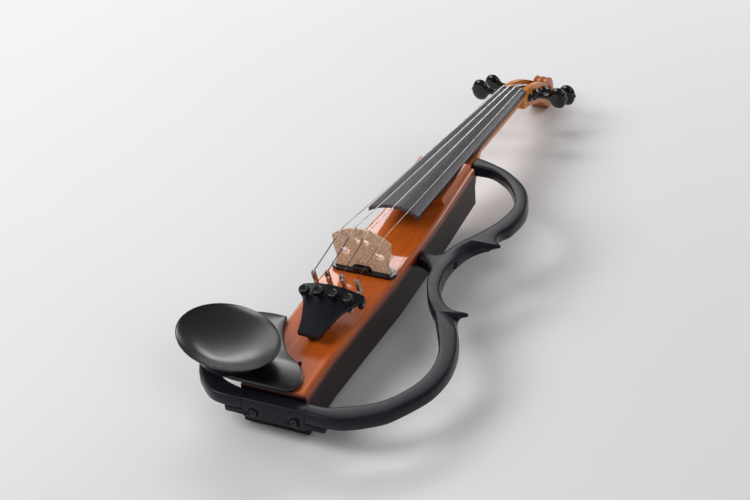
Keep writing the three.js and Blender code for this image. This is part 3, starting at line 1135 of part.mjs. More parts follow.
function chinShape() {
  const shape = new THREE.Shape();
  shape.moveTo(CHIN_RIGHT * CHIN_EDGE_SHARES[0][0], CHIN_TAIL_Y);
  shape.splineThru(CHIN_EDGE_SHARES.map(chinPoint(CHIN_RIGHT)));
  shape.splineThru(CHIN_HIDDEN_SHARES.map(chinPoint(CHIN_LEFT)));
  shape.lineTo(-CHIN_LEFT * CHIN_TAIL_SHARE, CHIN_TAIL_Y);
  return shape;
}

const ovalMatrix = new THREE.Matrix4().makeRotationZ(CUP_TURN).setPosition(CUP_X, CUP_Y, 0)
  .multiply(new THREE.Matrix4().makeScale(CUP_LONG, CUP_SHORT, 1));

function makeChinRest() {
  const rise = CUP_RIM_Z - chinFloor;
  const bottom = [0, CUP_RIM_Z - CUP_DISH];
  const wall = CUP_WALL_SHARES.map((share) => [
    THREE.MathUtils.lerp(CUP_BASE_SHARE, 1, share ** CUP_WALL_POWER), chinFloor + rise * share,
  ]);
  const hollow = CUP_DISH_SHARES.map((share) => [CUP_LIP_SHARE * share, CUP_RIM_Z - CUP_DISH * (1 - share ** 2)]);
  const cup = turned([[0, chinFloor], [CUP_BASE_SHARE, chinFloor], ...wall, ...[...hollow].reverse(), bottom], Z_AXIS,
    vector(0, 0, 0), CUP_SIDES, ovalMatrix);
  const dish = turned([bottom, ...hollow, [CUP_LIP_SHARE, CUP_RIM_Z + CUT_OVERRUN], [0, CUP_RIM_Z + CUT_OVERRUN]],
    Z_AXIS, vector(0, 0, 0), CUP_SIDES, ovalMatrix);
  const base = asSolid(plate(chinShape(), chinFloor, chinRoof, CHIN_EDGE, FRAME_CURVE_STEPS));
  return cut(join(cup, base), dish, ...chinScrewYs.map((y) => rod(SMALL_SHANK + SEAT_GAP,
    chinScrewStart(y), chinScrewStart(y).setZ(chinFloor + CHIN_SCREW_BITE + SEAT_GAP), SCREW_SIDES)));
}
add('chin_rest', 'black_satin', makeChinRest());
Object.keys(CHIN_SCREW_SHARES).forEach((place, i) => {
  add(`chin_rest_screw_${place}`, 'black_steel', screw(...chinScrewArgs, chinScrewStart(chinScrewYs[i]), SCREW_SIDES));
});

// Control panel in the bass flank
const outOfPanel = PANEL_IN - CUT_OVERRUN;
const switchV = (share) => PANEL_START + share * PANEL_LENGTH;
const jackOf = (v) => onFlank(PANEL_IN - JACK_FLANGE_THICKNESS, v, JACK_ROW_Z);

function makePanel() {
  const sheet = block(PANEL_IN, panelBack, panelLow.v, panelHigh.v, panelLow.z, panelHigh.z, flankMatrix);
  const hole = (radius, v) => rod(radius, vector(outOfPanel, v, JACK_ROW_Z), vector(CUT_OVERRUN, v, JACK_ROW_Z),
    WINDING_SIDES, flankMatrix);
  const slot = (v) => block(outOfPanel, CUT_OVERRUN, v - SWITCH_TAB_LENGTH / 2 - TURN_GAP,
    v + SWITCH_TAB_LENGTH / 2 + SWITCH_TRAVEL + TURN_GAP, JACK_ROW_Z - SWITCH_TAB_HEIGHT / 2 - TURN_GAP,
    JACK_ROW_Z + SWITCH_TAB_HEIGHT / 2 + TURN_GAP, flankMatrix);
  return cut(sheet, hole(LINE_JACK_BARREL + SEAT_GAP, LINE_JACK_V), hole(PHONES_JACK_BARREL + SEAT_GAP, PHONES_JACK_V),
    hole(KNOB_STEM + TURN_GAP, KNOB_V), ...Object.values(SWITCH_PLACE_SHARES).map(switchV).map(slot));
}
add('control_panel', 'black_satin', makePanel());

// A socket with its flange outside the panel, open at its mouth.
function makeJack(bore, barrel, flange, v) {
  const depth = JACK_FLANGE_THICKNESS + SEAT_GAP + JACK_DEPTH;
  const profile = [
    [bore, 0], [flange, 0], [flange, JACK_FLANGE_THICKNESS - SEAT_GAP], [barrel, JACK_FLANGE_THICKNESS - SEAT_GAP],
    [barrel, depth], [0, depth], [0, depth - JACK_FLOOR], [bore, depth - JACK_FLOOR], [bore, 0],
  ];
  return turned(profile, FLANK_INWARD, jackOf(v), WINDING_SIDES);
}
add('line_jack', 'nickel', makeJack(LINE_JACK_BORE, LINE_JACK_BARREL, LINE_JACK_FLANGE, LINE_JACK_V));
add('phones_jack', 'nickel', makeJack(PHONES_JACK_BORE, PHONES_JACK_BARREL, PHONES_JACK_FLANGE, PHONES_JACK_V));

function makeKnob() {
  const flutes = Array.from({ length: KNOB_FLUTES * 2 }, (_, k) => {
    const radius = KNOB_RADIUS * (k % 2 === 0 ? 1 : TUNER_FLUTE_SHARE);
    const turn = (k / KNOB_FLUTES) * Math.PI;
    return new THREE.Vector2(radius * Math.cos(turn), radius * Math.sin(turn));
  });
  const capHigh = PANEL_IN - TURN_GAP;
  const cap = plate(new THREE.Shape(flutes), 0, KNOB_HEIGHT, 0, 1);
  cap.applyMatrix4(new THREE.Matrix4().makeBasis(Y_AXIS, Z_AXIS, X_AXIS));
  cap.translate(capHigh - KNOB_HEIGHT, KNOB_V, JACK_ROW_Z);
  const stem = rod(KNOB_STEM, vector(capHigh - KNOB_HEIGHT / 2, KNOB_V, JACK_ROW_Z),
    vector(panelBack + SEAT_GAP, KNOB_V, JACK_ROW_Z), SCREW_SIDES, flankMatrix);
  return join(asSolid(cap.applyMatrix4(flankMatrix)), stem);
}
add('volume_knob', 'black_satin', makeKnob());
add('volume_pot', 'nickel', rod(POT_RADIUS, vector(panelBack + SEAT_GAP * 2, KNOB_V, JACK_ROW_Z),
  vector(panelBack + SEAT_GAP * 2 + POT_THICKNESS, KNOB_V, JACK_ROW_Z), WINDING_SIDES, flankMatrix));

function makeSwitch(v) {
  const shoeLow = panelBack + TURN_GAP;
  return join(
    block(shoeLow, shoeLow + SWITCH_SHOE_THICKNESS, v - SWITCH_SHOE_LENGTH / 2, v + SWITCH_SHOE_LENGTH / 2,
      JACK_ROW_Z - SWITCH_SHOE_HEIGHT / 2, JACK_ROW_Z + SWITCH_SHOE_HEIGHT / 2, flankMatrix),
    block(PANEL_IN - SWITCH_TAB_RISE, shoeLow + SWITCH_SHOE_THICKNESS, v - SWITCH_TAB_LENGTH / 2,
      v + SWITCH_TAB_LENGTH / 2, JACK_ROW_Z - SWITCH_TAB_HEIGHT / 2, JACK_ROW_Z + SWITCH_TAB_HEIGHT / 2, flankMatrix),
  );
}
Object.entries(SWITCH_PLACE_SHARES).forEach(([name, share]) => add(name, 'black_gloss', makeSwitch(switchV(share))));

const circuitMiddle = PANEL_START + PANEL_LENGTH / 2;
add('circuit_board', 'circuit_green', block(BOARD_BACK_U - CIRCUIT_THICKNESS, BOARD_BACK_U,
  circuitMiddle - CIRCUIT_LENGTH / 2, circuitMiddle + CIRCUIT_LENGTH / 2, JACK_ROW_Z - CIRCUIT_HEIGHT / 2,
  JACK_ROW_Z + CIRCUIT_HEIGHT / 2, flankMatrix));

// Lead from the pickup to the circuit board
const boardFace = onFlank(BOARD_BACK_U + SEAT_GAP + LEAD_RADIUS / 2, LEAD_SLOT_Y - FLANK_START_Y, LEAD_SLOT_Z);
leadPoints.push(
  vector(LEAD_HOLE_X, LEAD_SLOT, LEAD_SLOT_Z + LEAD_SLOT),
  vector(LEAD_HOLE_X, LEAD_SLOT_Y - LEAD_SLOT, LEAD_SLOT_Z),
  vector(-LEAD_HOLE_X, LEAD_SLOT_Y, LEAD_SLOT_Z),
  boardFace,
);
add('pickup_lead', 'gut_black', asSolid(cord(leadPoints, LEAD_RADIUS, STRING_SIDES)));

// Battery bay: two cells, their contact strip, and the door on its pin
const cellStart = BATTERY_TAIL_Y + BATTERY_SPARE / 2;
function makeCell(z) {
  const profile = [
    [0, 0], [CELL_RADIUS, 0], [CELL_RADIUS, CELL_LENGTH], [CELL_NUB_RADIUS, CELL_LENGTH],
    [CELL_NUB_RADIUS, CELL_LENGTH + CELL_NUB_LENGTH], [0, CELL_LENGTH + CELL_NUB_LENGTH],
  ];
  return turned(profile, Y_AXIS, vector(cellX, cellStart, z), WINDING_SIDES);
}
const cellStep = CELL_RADIUS + SEAT_GAP / 2;
add('battery_cell_lower', 'cell_wrap', makeCell(CELL_STACK_Z - cellStep));
add('battery_cell_upper', 'cell_wrap', makeCell(CELL_STACK_Z + cellStep));
add('battery_contact', 'nickel', block(cellX - CELL_RADIUS / 2, cellX + CELL_RADIUS / 2,
  cellStart - SEAT_GAP - CONTACT_THICKNESS, cellStart - SEAT_GAP, CELL_STACK_Z - cellStep - CELL_RADIUS / 2,
  CELL_STACK_Z + cellStep + CELL_RADIUS / 2));

function makeDoor() {
  const low = BATTERY_TAIL_Y + SEAT_GAP;
  const high = batteryHighY - SEAT_GAP;
  const leaf = block(-TRUNK_BASS, -TRUNK_BASS + DOOR_THICKNESS, low, high, doorAxis.z, BATTERY_ROOF_Z - SEAT_GAP);
  const barrel = rod(DOOR_BARREL, vector(doorAxis.x, low, doorAxis.z), vector(doorAxis.x, high, doorAxis.z),
    WINDING_SIDES);
  const bore = rod(DOOR_PIN + TURN_GAP, vector(doorAxis.x, low - CUT_OVERRUN, doorAxis.z),
    vector(doorAxis.x, high + CUT_OVERRUN, doorAxis.z), WINDING_SIDES);
  return cut(join(leaf, barrel), bore);
}
add('battery_door', 'black_satin', makeDoor());
add('battery_door_pin', 'steel', rod(DOOR_PIN, ...doorPinEnds, SCREW_SIDES));

export default violin;
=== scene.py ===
# %% [markdown]
# # An electric violin in the studio
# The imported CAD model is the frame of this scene: it says where every piece is and which body it moves
# with. Everything below dresses that frame. A CAD piece whose form is right lends a copy of its mesh, which
# gets eased edges. The forms that the eye reads first, such as the scroll, the pegs and the chin rest, are
# modelled anew.
# %% Load the frame
import json
import math

import bmesh
import bpy
from mathutils import Matrix, Vector


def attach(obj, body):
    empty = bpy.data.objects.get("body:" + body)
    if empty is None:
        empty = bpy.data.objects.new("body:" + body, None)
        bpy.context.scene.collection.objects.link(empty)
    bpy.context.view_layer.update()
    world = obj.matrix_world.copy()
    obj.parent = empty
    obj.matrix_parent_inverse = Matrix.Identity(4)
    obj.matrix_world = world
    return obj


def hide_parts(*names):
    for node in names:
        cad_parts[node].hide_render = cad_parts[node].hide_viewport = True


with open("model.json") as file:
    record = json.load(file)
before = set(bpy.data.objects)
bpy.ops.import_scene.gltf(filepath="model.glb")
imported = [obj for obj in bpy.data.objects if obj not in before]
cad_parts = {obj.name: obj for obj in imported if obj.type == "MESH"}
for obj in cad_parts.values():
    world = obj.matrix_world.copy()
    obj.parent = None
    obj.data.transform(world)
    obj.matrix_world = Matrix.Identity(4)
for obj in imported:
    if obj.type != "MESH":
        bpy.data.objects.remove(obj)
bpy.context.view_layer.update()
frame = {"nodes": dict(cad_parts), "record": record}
MM = 0.001
BODY_OF = {node: body for body, nodes in frame["record"]["behaviour"]["bodies"].items() for node in nodes}

# %% [markdown]
# ## The camera
# The photograph looks down on the instrument from the tail, a little to the treble side, with the scroll
# far away. The place, the aim and the roll were fitted to points of the photograph whose place on a violin
# is known, such as the nut and the bridge. A matrix of three axes puts the camera there in one go, with no
# constraint to track.
# %% Camera
CAMERA_PLACE = Vector((0.4755, -0.9692, 0.7993))
CAMERA_LOOK = Vector((-0.3571, 0.7425, -0.5667))
CAMERA_UP = Vector((-0.1832, 0.5393, 0.822))
SENSOR_WIDTH, LENS_LENGTH = 36, 83.6


def camera_matrix(place, look, up):
    back = -look.normalized()
    side = up.cross(back).normalized()
    rise = back.cross(side)
    axes = Matrix((side, rise, back)).transposed().to_4x4()
    axes.translation = place
    return axes


def deselect():
    bpy.ops.object.select_all(action="DESELECT")


deselect()
bpy.ops.object.camera_add()
camera = bpy.context.object
camera.matrix_world = camera_matrix(CAMERA_PLACE, CAMERA_LOOK, CAMERA_UP)
camera.data.sensor_width = SENSOR_WIDTH
camera.data.lens = LENS_LENGTH
bpy.context.scene.camera = camera
print("camera at", [round(v, 3) for v in camera.location])

# %% [markdown]
# ## Node helpers for finishes
# Every finish is a Principled BSDF with a few texture nodes in front of it. The helpers below keep each
# recipe to a few lines: one adds a node and sets its inputs, one spreads a value over a new range, one
# mixes two colours, and one turns a texture into a bump. All patterns read Object coordinates, so they stay
# fixed to the instrument from every side, and a colour can change at a set height or at a set place along
# the body.
# %% Material helpers


def new_finish(name, **inputs):
    material = bpy.data.materials.new(name)
    material.use_nodes = True
    shader = material.node_tree.nodes["Principled BSDF"]
    for socket, value in inputs.items():
        shader.inputs[socket.replace("_", " ")].default_value = value
    return material, material.node_tree, shader


def add_node(tree, kind, **inputs):
    node = tree.nodes.new(kind)
    for socket, value in inputs.items():
        node.inputs[socket.replace("_", " ")].default_value = value
    return node


def object_pattern(tree, stretch):
    place = tree.nodes.new("ShaderNodeTexCoord")
    mapping = add_node(tree, "ShaderNodeMapping", Scale=stretch)
    tree.links.new(place.outputs["Object"], mapping.inputs["Vector"])
    return mapping.outputs["Vector"]


def object_axes(tree):
    place = tree.nodes.new("ShaderNodeTexCoord")
    axes = tree.nodes.new("ShaderNodeSeparateXYZ")
    tree.links.new(place.outputs["Object"], axes.inputs["Vector"])
    return axes.outputs


def noise(tree, vector, scale, detail, roughness=0.55):
    node = add_node(tree, "ShaderNodeTexNoise", Scale=scale, Detail=detail, Roughness=roughness)
    tree.links.new(vector, node.inputs["Vector"])
    return node.outputs["Fac"]


def spread(tree, value, low, high, to_low=0.0, to_high=1.0):
    node = tree.nodes.new("ShaderNodeMapRange")
    for socket, number in zip(("From Min", "From Max", "To Min", "To Max"), (low, high, to_low, to_high)):
        node.inputs[socket].default_value = number
    tree.links.new(value, node.inputs["Value"])
    return node.outputs["Result"]


def mix_colours(tree, share, first, second):
    node = tree.nodes.new("ShaderNodeMix")
    node.data_type = "RGBA"
    tree.links.new(share, node.inputs["Factor"])
    for socket, colour in zip(("A", "B"), (first, second)):
        target = [s for s in node.inputs if s.name == socket and s.type == "RGBA"][0]
        if isinstance(colour, tuple):
            target.default_value = (*colour, 1)
        else:
            tree.links.new(colour, target)
    return [s for s in node.outputs if s.type == "RGBA"][0]


def bump(tree, shader, height, strength, distance=0.2 * MM):
    node = add_node(tree, "ShaderNodeBump", Strength=strength, Distance=distance)
    tree.links.new(height, node.inputs["Height"])
    tree.links.new(node.outputs["Normal"], shader.inputs["Normal"])

# %% [markdown]
# ## The varnish
# The trunk is wood under a thick clear gloss. A noise stretched along the body gives the grain. The top is
# a deep amber. Height and length ramps paint shade into the colour below it: a dark red along the rounded
# shoulder, then near black down the flanks and on the tail face, which stands for the shade on those faces.
# The clear coat fades on the flanks as well.
# The neck is honey-coloured under a thinner coat. It is as dark as the trunk where they meet, and its
# scroll is redder again. An image of wood would need an unwrapped surface and would show its seams. A noise
# in three dimensions runs through the piece as real grain does.
# %% Varnish
AMBER, AMBER_DEEP = (0.62, 0.13, 0.012), (0.5, 0.09, 0.008)
HONEY, HONEY_DEEP = (0.68, 0.25, 0.02), (0.55, 0.16, 0.01)
# Painted shade: the dark red of the shoulder and the near black of the flanks and the tail face stand in for
# shadow, not for the wood's own colour.
SHOULDER_PAINTED_SHADE = (0.24, 0.035, 0.006)
FLANK_PAINTED_SHADE = (0.012, 0.002, 0.001)
SCROLL_RED = (0.36, 0.08, 0.01)
GRAIN_STRETCH, GRAIN_SCALE, GRAIN_LIMITS = (9, 0.5, 9), 34, (0.38, 0.66)
CLOUD_STRETCH, CLOUD_SCALE, CLOUD_LIMITS, CLOUD_SHARE = (1, 0.6, 1), 7, (0.3, 0.75), 0.35
FLANK_TOP, SHOULDER_TOP = 0.029, 0.0374
SHOULDER_SHADE_RISE, FLANK_SHADE_FADE = 0.004, 0.005
FLANK_COAT, MEAN_COAT, TOP_COAT, NECK_COAT = 0.05, 0.6, 0.8, 0.3
TAIL_SHADE_SPAN = (-0.1499, -0.1478)
NECK_BRIGHTENS, SCROLL_REDDENS = (0.15, 0.3), (0.36, 0.42)


def varnished_wood(name, light, deep, coat):
    material, tree, shader = new_finish(name, Roughness=0.4, Specular_IOR_Level=0.2, Coat_Weight=coat,
                                        Coat_Roughness=0.05, Coat_IOR=1.4)
    grain = noise(tree, object_pattern(tree, GRAIN_STRETCH), GRAIN_SCALE, detail=6, roughness=0.62)
    cloud = noise(tree, object_pattern(tree, CLOUD_STRETCH), CLOUD_SCALE, detail=2)
    wood = mix_colours(tree, spread(tree, grain, *GRAIN_LIMITS), deep, light)
    wood = mix_colours(tree, spread(tree, cloud, *CLOUD_LIMITS, 0, CLOUD_SHARE), wood, deep)
    bump(tree, shader, grain, strength=0.02)
    return material, tree, shader, wood


def trunk_varnish():
    material, tree, shader, wood = varnished_wood("amber varnish with painted shade", AMBER, AMBER_DEEP, MEAN_COAT)
    axes = object_axes(tree)
    # These three mixes are painted shade: dark red along the shoulder, near black on the flanks and on the
    # tail face.
    wood = mix_colours(tree, spread(tree, axes["Z"], FLANK_TOP + SHOULDER_SHADE_RISE, SHOULDER_TOP), SHOULDER_PAINTED_SHADE, wood)
    wood = mix_colours(tree, spread(tree, axes["Z"], FLANK_TOP, FLANK_TOP + FLANK_SHADE_FADE), FLANK_PAINTED_SHADE, wood)
    wood = mix_colours(tree, spread(tree, axes["Y"], *TAIL_SHADE_SPAN), FLANK_PAINTED_SHADE, wood)
    tree.links.new(wood, shader.inputs["Base Color"])
    coat = spread(tree, axes["Z"], FLANK_TOP, SHOULDER_TOP, FLANK_COAT, TOP_COAT)
    tree.links.new(coat, shader.inputs["Coat Weight"])
    return material


def neck_varnish():
    material, tree, shader, wood = varnished_wood("neck varnish", HONEY, HONEY_DEEP, NECK_COAT)
    axes = object_axes(tree)
    wood = mix_colours(tree, spread(tree, axes["Y"], *NECK_BRIGHTENS), AMBER_DEEP, wood)
    wood = mix_colours(tree, spread(tree, axes["Y"], *SCROLL_REDDENS), wood, SCROLL_RED)
    tree.links.new(wood, shader.inputs["Base Color"])
    return material


varnish, pale_varnish = trunk_varnish(), neck_varnish()
print("varnishes:", varnish.name, "and", pale_varnish.name)

# %% [markdown]
# ## Bare wood, plastics and metals
# The fingerboard is dark, with fine speckles along its grain. The bridge is pale maple with short brown
# flecks. The plastics differ in gloss: the frame is satin, the chin rest has a stronger sheen, and the pegs
# and the pickup shine. The metals are metallic, and a weak bump keeps their highlights from looking
# computed. A string is bright wound steel up to the bridge, and behind it the dark silk that wraps its end.
# %% Finish recipes
SPECK_LIMITS = (0.35, 0.7)
SILK, WOUND_STEEL, SILK_FADE = (0.05, 0.022, 0.05), (0.86, 0.86, 0.88), (-0.012, -0.009)


def plain_finish(name, colour, second, scale, roughness, strength=0.05, **inputs):
    material, tree, shader = new_finish(name, Roughness=roughness, **inputs)
    speck = noise(tree, object_pattern(tree, (1, 1, 1)), scale, detail=3)
    colours = mix_colours(tree, spread(tree, speck, *SPECK_LIMITS), colour, second)
    tree.links.new(colours, shader.inputs["Base Color"])
    bump(tree, shader, speck, strength)
    return material


def grained_finish(name, dark, light, stretch, scale, limits, roughness):
    material, tree, shader = new_finish(name, Roughness=roughness)
    grain = noise(tree, object_pattern(tree, stretch), scale, detail=6, roughness=0.7)
    tree.links.new(mix_colours(tree, spread(tree, grain, *limits), dark, light), shader.inputs["Base Color"])
    bump(tree, shader, grain, strength=0.1)
    return material


def string_finish():
    material, tree, shader = new_finish("string", Roughness=0.3)
    bare = spread(tree, object_axes(tree)["Y"], *SILK_FADE)
    tree.links.new(mix_colours(tree, bare, SILK, WOUND_STEEL), shader.inputs["Base Color"])
    tree.links.new(bare, shader.inputs["Metallic"])
    return material

# %% [markdown]
# ## The finishes by name
# Each piece of the frame names its material slot, so one table from slot to finish dresses all of them. Two
# near colours in most of the finishes keep a surface from looking flat. The strings share a slot with other
# steel pieces, so they are told apart by their name.
# %% The finishes
ebony = grained_finish("ebony", (0.034, 0.029, 0.034), (0.11, 0.096, 0.108), (14, 0.9, 14),
                       70, (0.42, 0.7), 0.4)
maple = grained_finish("bridge maple", (0.4, 0.24, 0.14), (0.78, 0.54, 0.37), (1.5, 1, 0.7),
                       640, (0.38, 0.56), 0.45)
satin = plain_finish("satin black plastic", (0.006, 0.0065, 0.01), (0.011, 0.012, 0.018), 900, 0.34,
                     Specular_IOR_Level=0.2)
chin_satin = plain_finish("chin rest plastic", (0.005, 0.005, 0.007), (0.009, 0.009, 0.012), 900, 0.28,
                          Specular_IOR_Level=0.62)
gloss = plain_finish("gloss black plastic", (0.002, 0.002, 0.003), (0.004, 0.004, 0.006), 300, 0.14, 0.01)
steel = plain_finish("bright steel", (0.55, 0.56, 0.58), (0.66, 0.67, 0.69), 700, 0.2, 0.03, Metallic=1.0)
nickel = plain_finish("nickel", (0.52, 0.49, 0.44), (0.62, 0.6, 0.55), 500, 0.22, 0.04, Metallic=1.0)
black_steel = plain_finish("black steel", (0.02, 0.02, 0.022), (0.05, 0.05, 0.055), 800, 0.3, Metallic=0.7)
solder_mask = plain_finish("green solder mask", (0.005, 0.05, 0.018), (0.008, 0.08, 0.028), 260, 0.3)
cell_wrap = plain_finish("cell wrap", (0.05, 0.15, 0.24), (0.07, 0.19, 0.3), 200, 0.3, 0.02, Metallic=0.3)
dark_cord = plain_finish("black cord", (0.006, 0.006, 0.007), (0.014, 0.014, 0.016), 900, 0.5, 0.2)
string_steel = string_finish()
FINISH_OF_SLOT = {
    "varnish": varnish, "pale_varnish": pale_varnish, "ebony": ebony, "maple": maple, "black_satin": satin,
    "black_gloss": gloss, "steel": steel, "nickel": nickel, "black_steel": black_steel,
    "circuit_green": solder_mask, "cell_wrap": cell_wrap, "gut_black": dark_cord,
}
SLOT_OF = {entry["node"]: entry["material_slot"] for entry in frame["record"]["subparts"]}
for node, piece in frame["nodes"].items():
    for place in piece.material_slots:
        place.material = string_steel if node.startswith("string_") else FINISH_OF_SLOT[SLOT_OF[node]]
print("finishes:", len(FINISH_OF_SLOT))

# %% [markdown]
# ## Eased edges
# A moulded or turned edge is never sharp, and it is the thin highlight along it that makes a piece look
# real. Each simple CAD piece is copied, its loose triangles are merged and its flat faces joined, and a
# bevel eases what is left of the sharp edges. Weighted normals keep the flats flat beside that bevel.
# Rounding them by hand would take long, and the modifier finds the edges by their angle.
# %% Eased copies
MERGE_REACH = 0.02 * MM
FLAT_ANGLE = 0.4
EASED = {
    "back_cover": 0.3, "fingerboard": 0.5, "nut": 0.4, "bridge_pickup": 0.5, "tailpiece": 0.5,
    "control_panel": 0.3, "line_jack": 0.3, "phones_jack": 0.3, "volume_knob": 0.3,
    "reverb_switch": 0.3, "power_switch": 0.3, "battery_door": 0.3,
}


def activate(piece):
    deselect()
    piece.select_set(True)
    bpy.context.view_layer.objects.active = piece


def apply_modifiers(piece):
    activate(piece)
    for modifier in list(piece.modifiers):
        bpy.ops.object.modifier_apply(modifier=modifier.name)


def settle(piece, node, finish):
    """Gives a piece its finish and its body, and hides the CAD node that it stands for."""
    piece.data.materials.clear()
    piece.data.materials.append(finish)
    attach(piece, BODY_OF[node])
    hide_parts(node)
    return piece


def merged_copy(node, name):
    piece = bpy.data.objects.new(name, frame["nodes"][node].data.copy())
    bpy.context.scene.collection.objects.link(piece)
    activate(piece)
    bpy.ops.object.mode_set(mode="EDIT")
    bpy.ops.mesh.select_all(action="SELECT")
    bpy.ops.mesh.remove_doubles(threshold=MERGE_REACH)
    bpy.ops.mesh.dissolve_limited(angle_limit=math.radians(FLAT_ANGLE))
    bpy.ops.object.mode_set(mode="OBJECT")
    return piece


def ease(piece, width, segments=2, angle=30):
    bevel = piece.modifiers.new("bevel", "BEVEL")
    bevel.width = width * MM
    bevel.segments = segments
    bevel.limit_method = "ANGLE"
    bevel.angle_limit = math.radians(angle)
    bevel.use_clamp_overlap = True
    weighted = piece.modifiers.new("weighted", "WEIGHTED_NORMAL")
    weighted.keep_sharp = True
    activate(piece)
    bpy.ops.object.shade_smooth()
    apply_modifiers(piece)


def eased(node, width):
    piece = merged_copy(node, f"{node}_eased")
    ease(piece, width)
    return settle(piece, node, FINISH_OF_SLOT[SLOT_OF[node]])


dressed = {node: eased(node, width) for node, width in EASED.items()}
print("eased copies:", len(dressed))

# %% [markdown]
# ## Growing a shape ring by ring
# Turned pieces and long flowing ones are made alike: a filled circle is extruded along the piece, and after
# each extrusion the new ring is moved to its own outline. A turned piece only needs a radius and a height
# for each ring. A flowing one, such as the neck or the scroll, gets every ring as a list of points. Both
# start and end closed, so the piece is one shell with no holes.
# %% Ring helpers
SHELL_REACH = 0.002 * MM
SMOOTHING = 40


def finish_shell(piece, smooth_angle=SMOOTHING):
    activate(piece)
    bpy.ops.object.mode_set(mode="EDIT")
    bpy.ops.mesh.select_all(action="SELECT")
    bpy.ops.mesh.remove_doubles(threshold=SHELL_REACH)
    bpy.ops.mesh.normals_make_consistent(inside=False)
    bpy.ops.object.mode_set(mode="OBJECT")
    bpy.ops.object.shade_smooth_by_angle(angle=math.radians(smooth_angle))
    return piece


def first_ring(name, count):
    deselect()
    bpy.ops.mesh.primitive_circle_add(vertices=count, radius=1, fill_type="NGON")
    piece = bpy.context.object
    piece.name = name
    bpy.ops.object.mode_set(mode="EDIT")
    bpy.ops.mesh.select_all(action="SELECT")
    return piece


def turned(name, profile, sides, place=Matrix(), smooth_angle=SMOOTHING):
    """A piece turned about z from (radius, height) pairs in millimetres."""
    piece = first_ring(name, sides)
    radius, height = profile[0]
    bpy.ops.transform.resize(value=(radius * MM, radius * MM, 1), center_override=(0, 0, 0))
    bpy.ops.transform.translate(value=(0, 0, height * MM))
    for (before, low), (after, high) in zip(profile, profile[1:]):
        bpy.ops.mesh.extrude_region_move(TRANSFORM_OT_translate={"value": (0, 0, (high - low) * MM)})
        share = after / before
        bpy.ops.transform.resize(value=(share, share, 1), center_override=(0, 0, high * MM))
    bpy.ops.object.mode_set(mode="OBJECT")
    piece.data.transform(place)
    return finish_shell(piece, smooth_angle)


def loft(name, rings, smooth_angle=SMOOTHING):
    """A piece through closed rings of points in millimetres, each with as many points as the first."""
    piece = first_ring(name, len(rings[0]))
    moved = list(bmesh.from_edit_mesh(piece.data).verts)
    for index, ring in enumerate(rings):
        if index:
            bpy.ops.mesh.extrude_region_move(TRANSFORM_OT_translate={"value": (0, 0, 0)})
            fresh = [v for v in bmesh.from_edit_mesh(piece.data).verts if v.select]
            moved = [min(fresh, key=lambda v, old=old: (v.co - old).length_squared) for old in places]
        places = [Vector(point) * MM for point in ring]
        for vertex, place in zip(moved, places):
            vertex.co = place
        bmesh.update_edit_mesh(piece.data)
    bpy.ops.object.mode_set(mode="OBJECT")
    return finish_shell(piece, smooth_angle)

# %% [markdown]
# ## Cutting one piece by another
# Holes are cut by a Boolean with a second piece, the cutter, and two shells become one by a Boolean union.
# The exact solver is slower than the fast one, but it copes with walls that touch. A Boolean can fail
# without a word, so the volume is printed before and after each cut. A cutter that grows along z is brought
# to its place by one matrix.
# %% Cutting helpers
CM3_PER_M3 = 1e6


def volume_of(piece):
    """The volume in cubic centimetres, which is negative for a shell that is inside out."""
    shell = bmesh.new()
    shell.from_mesh(piece.data)
    volume = shell.calc_volume(signed=True) * CM3_PER_M3
    shell.free()
    return round(volume, 2)


def cut_by(piece, cutter, operation="DIFFERENCE"):
    """Cuts a piece by another one, or joins them into one shell; the other piece is used up."""
    modifier = piece.modifiers.new("cut", "BOOLEAN")
    modifier.operation = operation
    modifier.solver = "EXACT"
    modifier.object = cutter
    before = volume_of(piece)
    apply_modifiers(piece)
    print(piece.name, "cut from", before, "to", volume_of(piece), "cm3 by", volume_of(cutter))
    bpy.data.objects.remove(cutter)
    return piece


def aim(place, axis, millimetres=True):
    """A matrix that takes z to an axis and the origin to a place."""
    turn = Vector((0, 0, 1)).rotation_difference(Vector(axis).normalized()).to_matrix().to_4x4()
    return Matrix.Translation(Vector(place) * (MM if millimetres else 1)) @ turn

# %% [markdown]
# ## The bridge's cut-outs
# The heart and the two kidneys catch the light on their lower walls, and they look larger than the frame's
# holes. An oval cylinder goes through the bridge at each place, and only then are all the edges eased. The
# holes could be extruded inwards from the bridge's own faces, but a Boolean needs no faces that fit their
# outlines.
# %% Bridge
# Place across and above the back, half length and half height of each hole, in millimetres
BRIDGE_HOLES = [(-15.2, 55, 4.7, 2.9), (12.8, 55, 4.7, 2.9), (-4.9, 65.3, 2.7, 2.5), (2.5, 65.3, 2.7, 2.5)]
HOLE_REACH, HOLE_SIDES = 8, 28
BRIDGE_EASING = 0.35

bridge = merged_copy("bridge", "bridge_cut")
for x, z, half_length, half_height in BRIDGE_HOLES:
    oval = (Matrix.Translation(Vector((x, 0, z)) * MM) @ Matrix.Diagonal((half_length, 1, half_height, 1))
            @ Matrix.Rotation(math.radians(90), 4, "X"))
    cut_by(bridge, turned("bridge_hole", [(1, -HOLE_REACH), (1, HOLE_REACH)], HOLE_SIDES, oval))
ease(bridge, BRIDGE_EASING)
settle(bridge, "bridge", maple)
print("bridge faces:", len(bridge.data.polygons))

# %% [markdown]
# ## The board's hollow underside
# A fingerboard is thin where it overhangs the body: its underside follows the arched top. A cylinder with
# the same middle line and a smaller radius is cut out below the overhang, which leaves a thin crescent at
# the end face. A board could also be bent from a thin sheet, but the frame's one already fits the neck, so
# only its underside changes.
# %% Board scoop
STRING_LENGTH = 326
BOARD_RISE, BOARD_SEAT = 45.15, 14.4
BOARD_SLOPE = math.atan(BOARD_RISE / STRING_LENGTH)
SCOOP_RADIUS, SCOOP_DROP, SCOOP_SIDES = 38.9, 31.37, 120
SCOOP_START, SCOOP_END = 227, 290

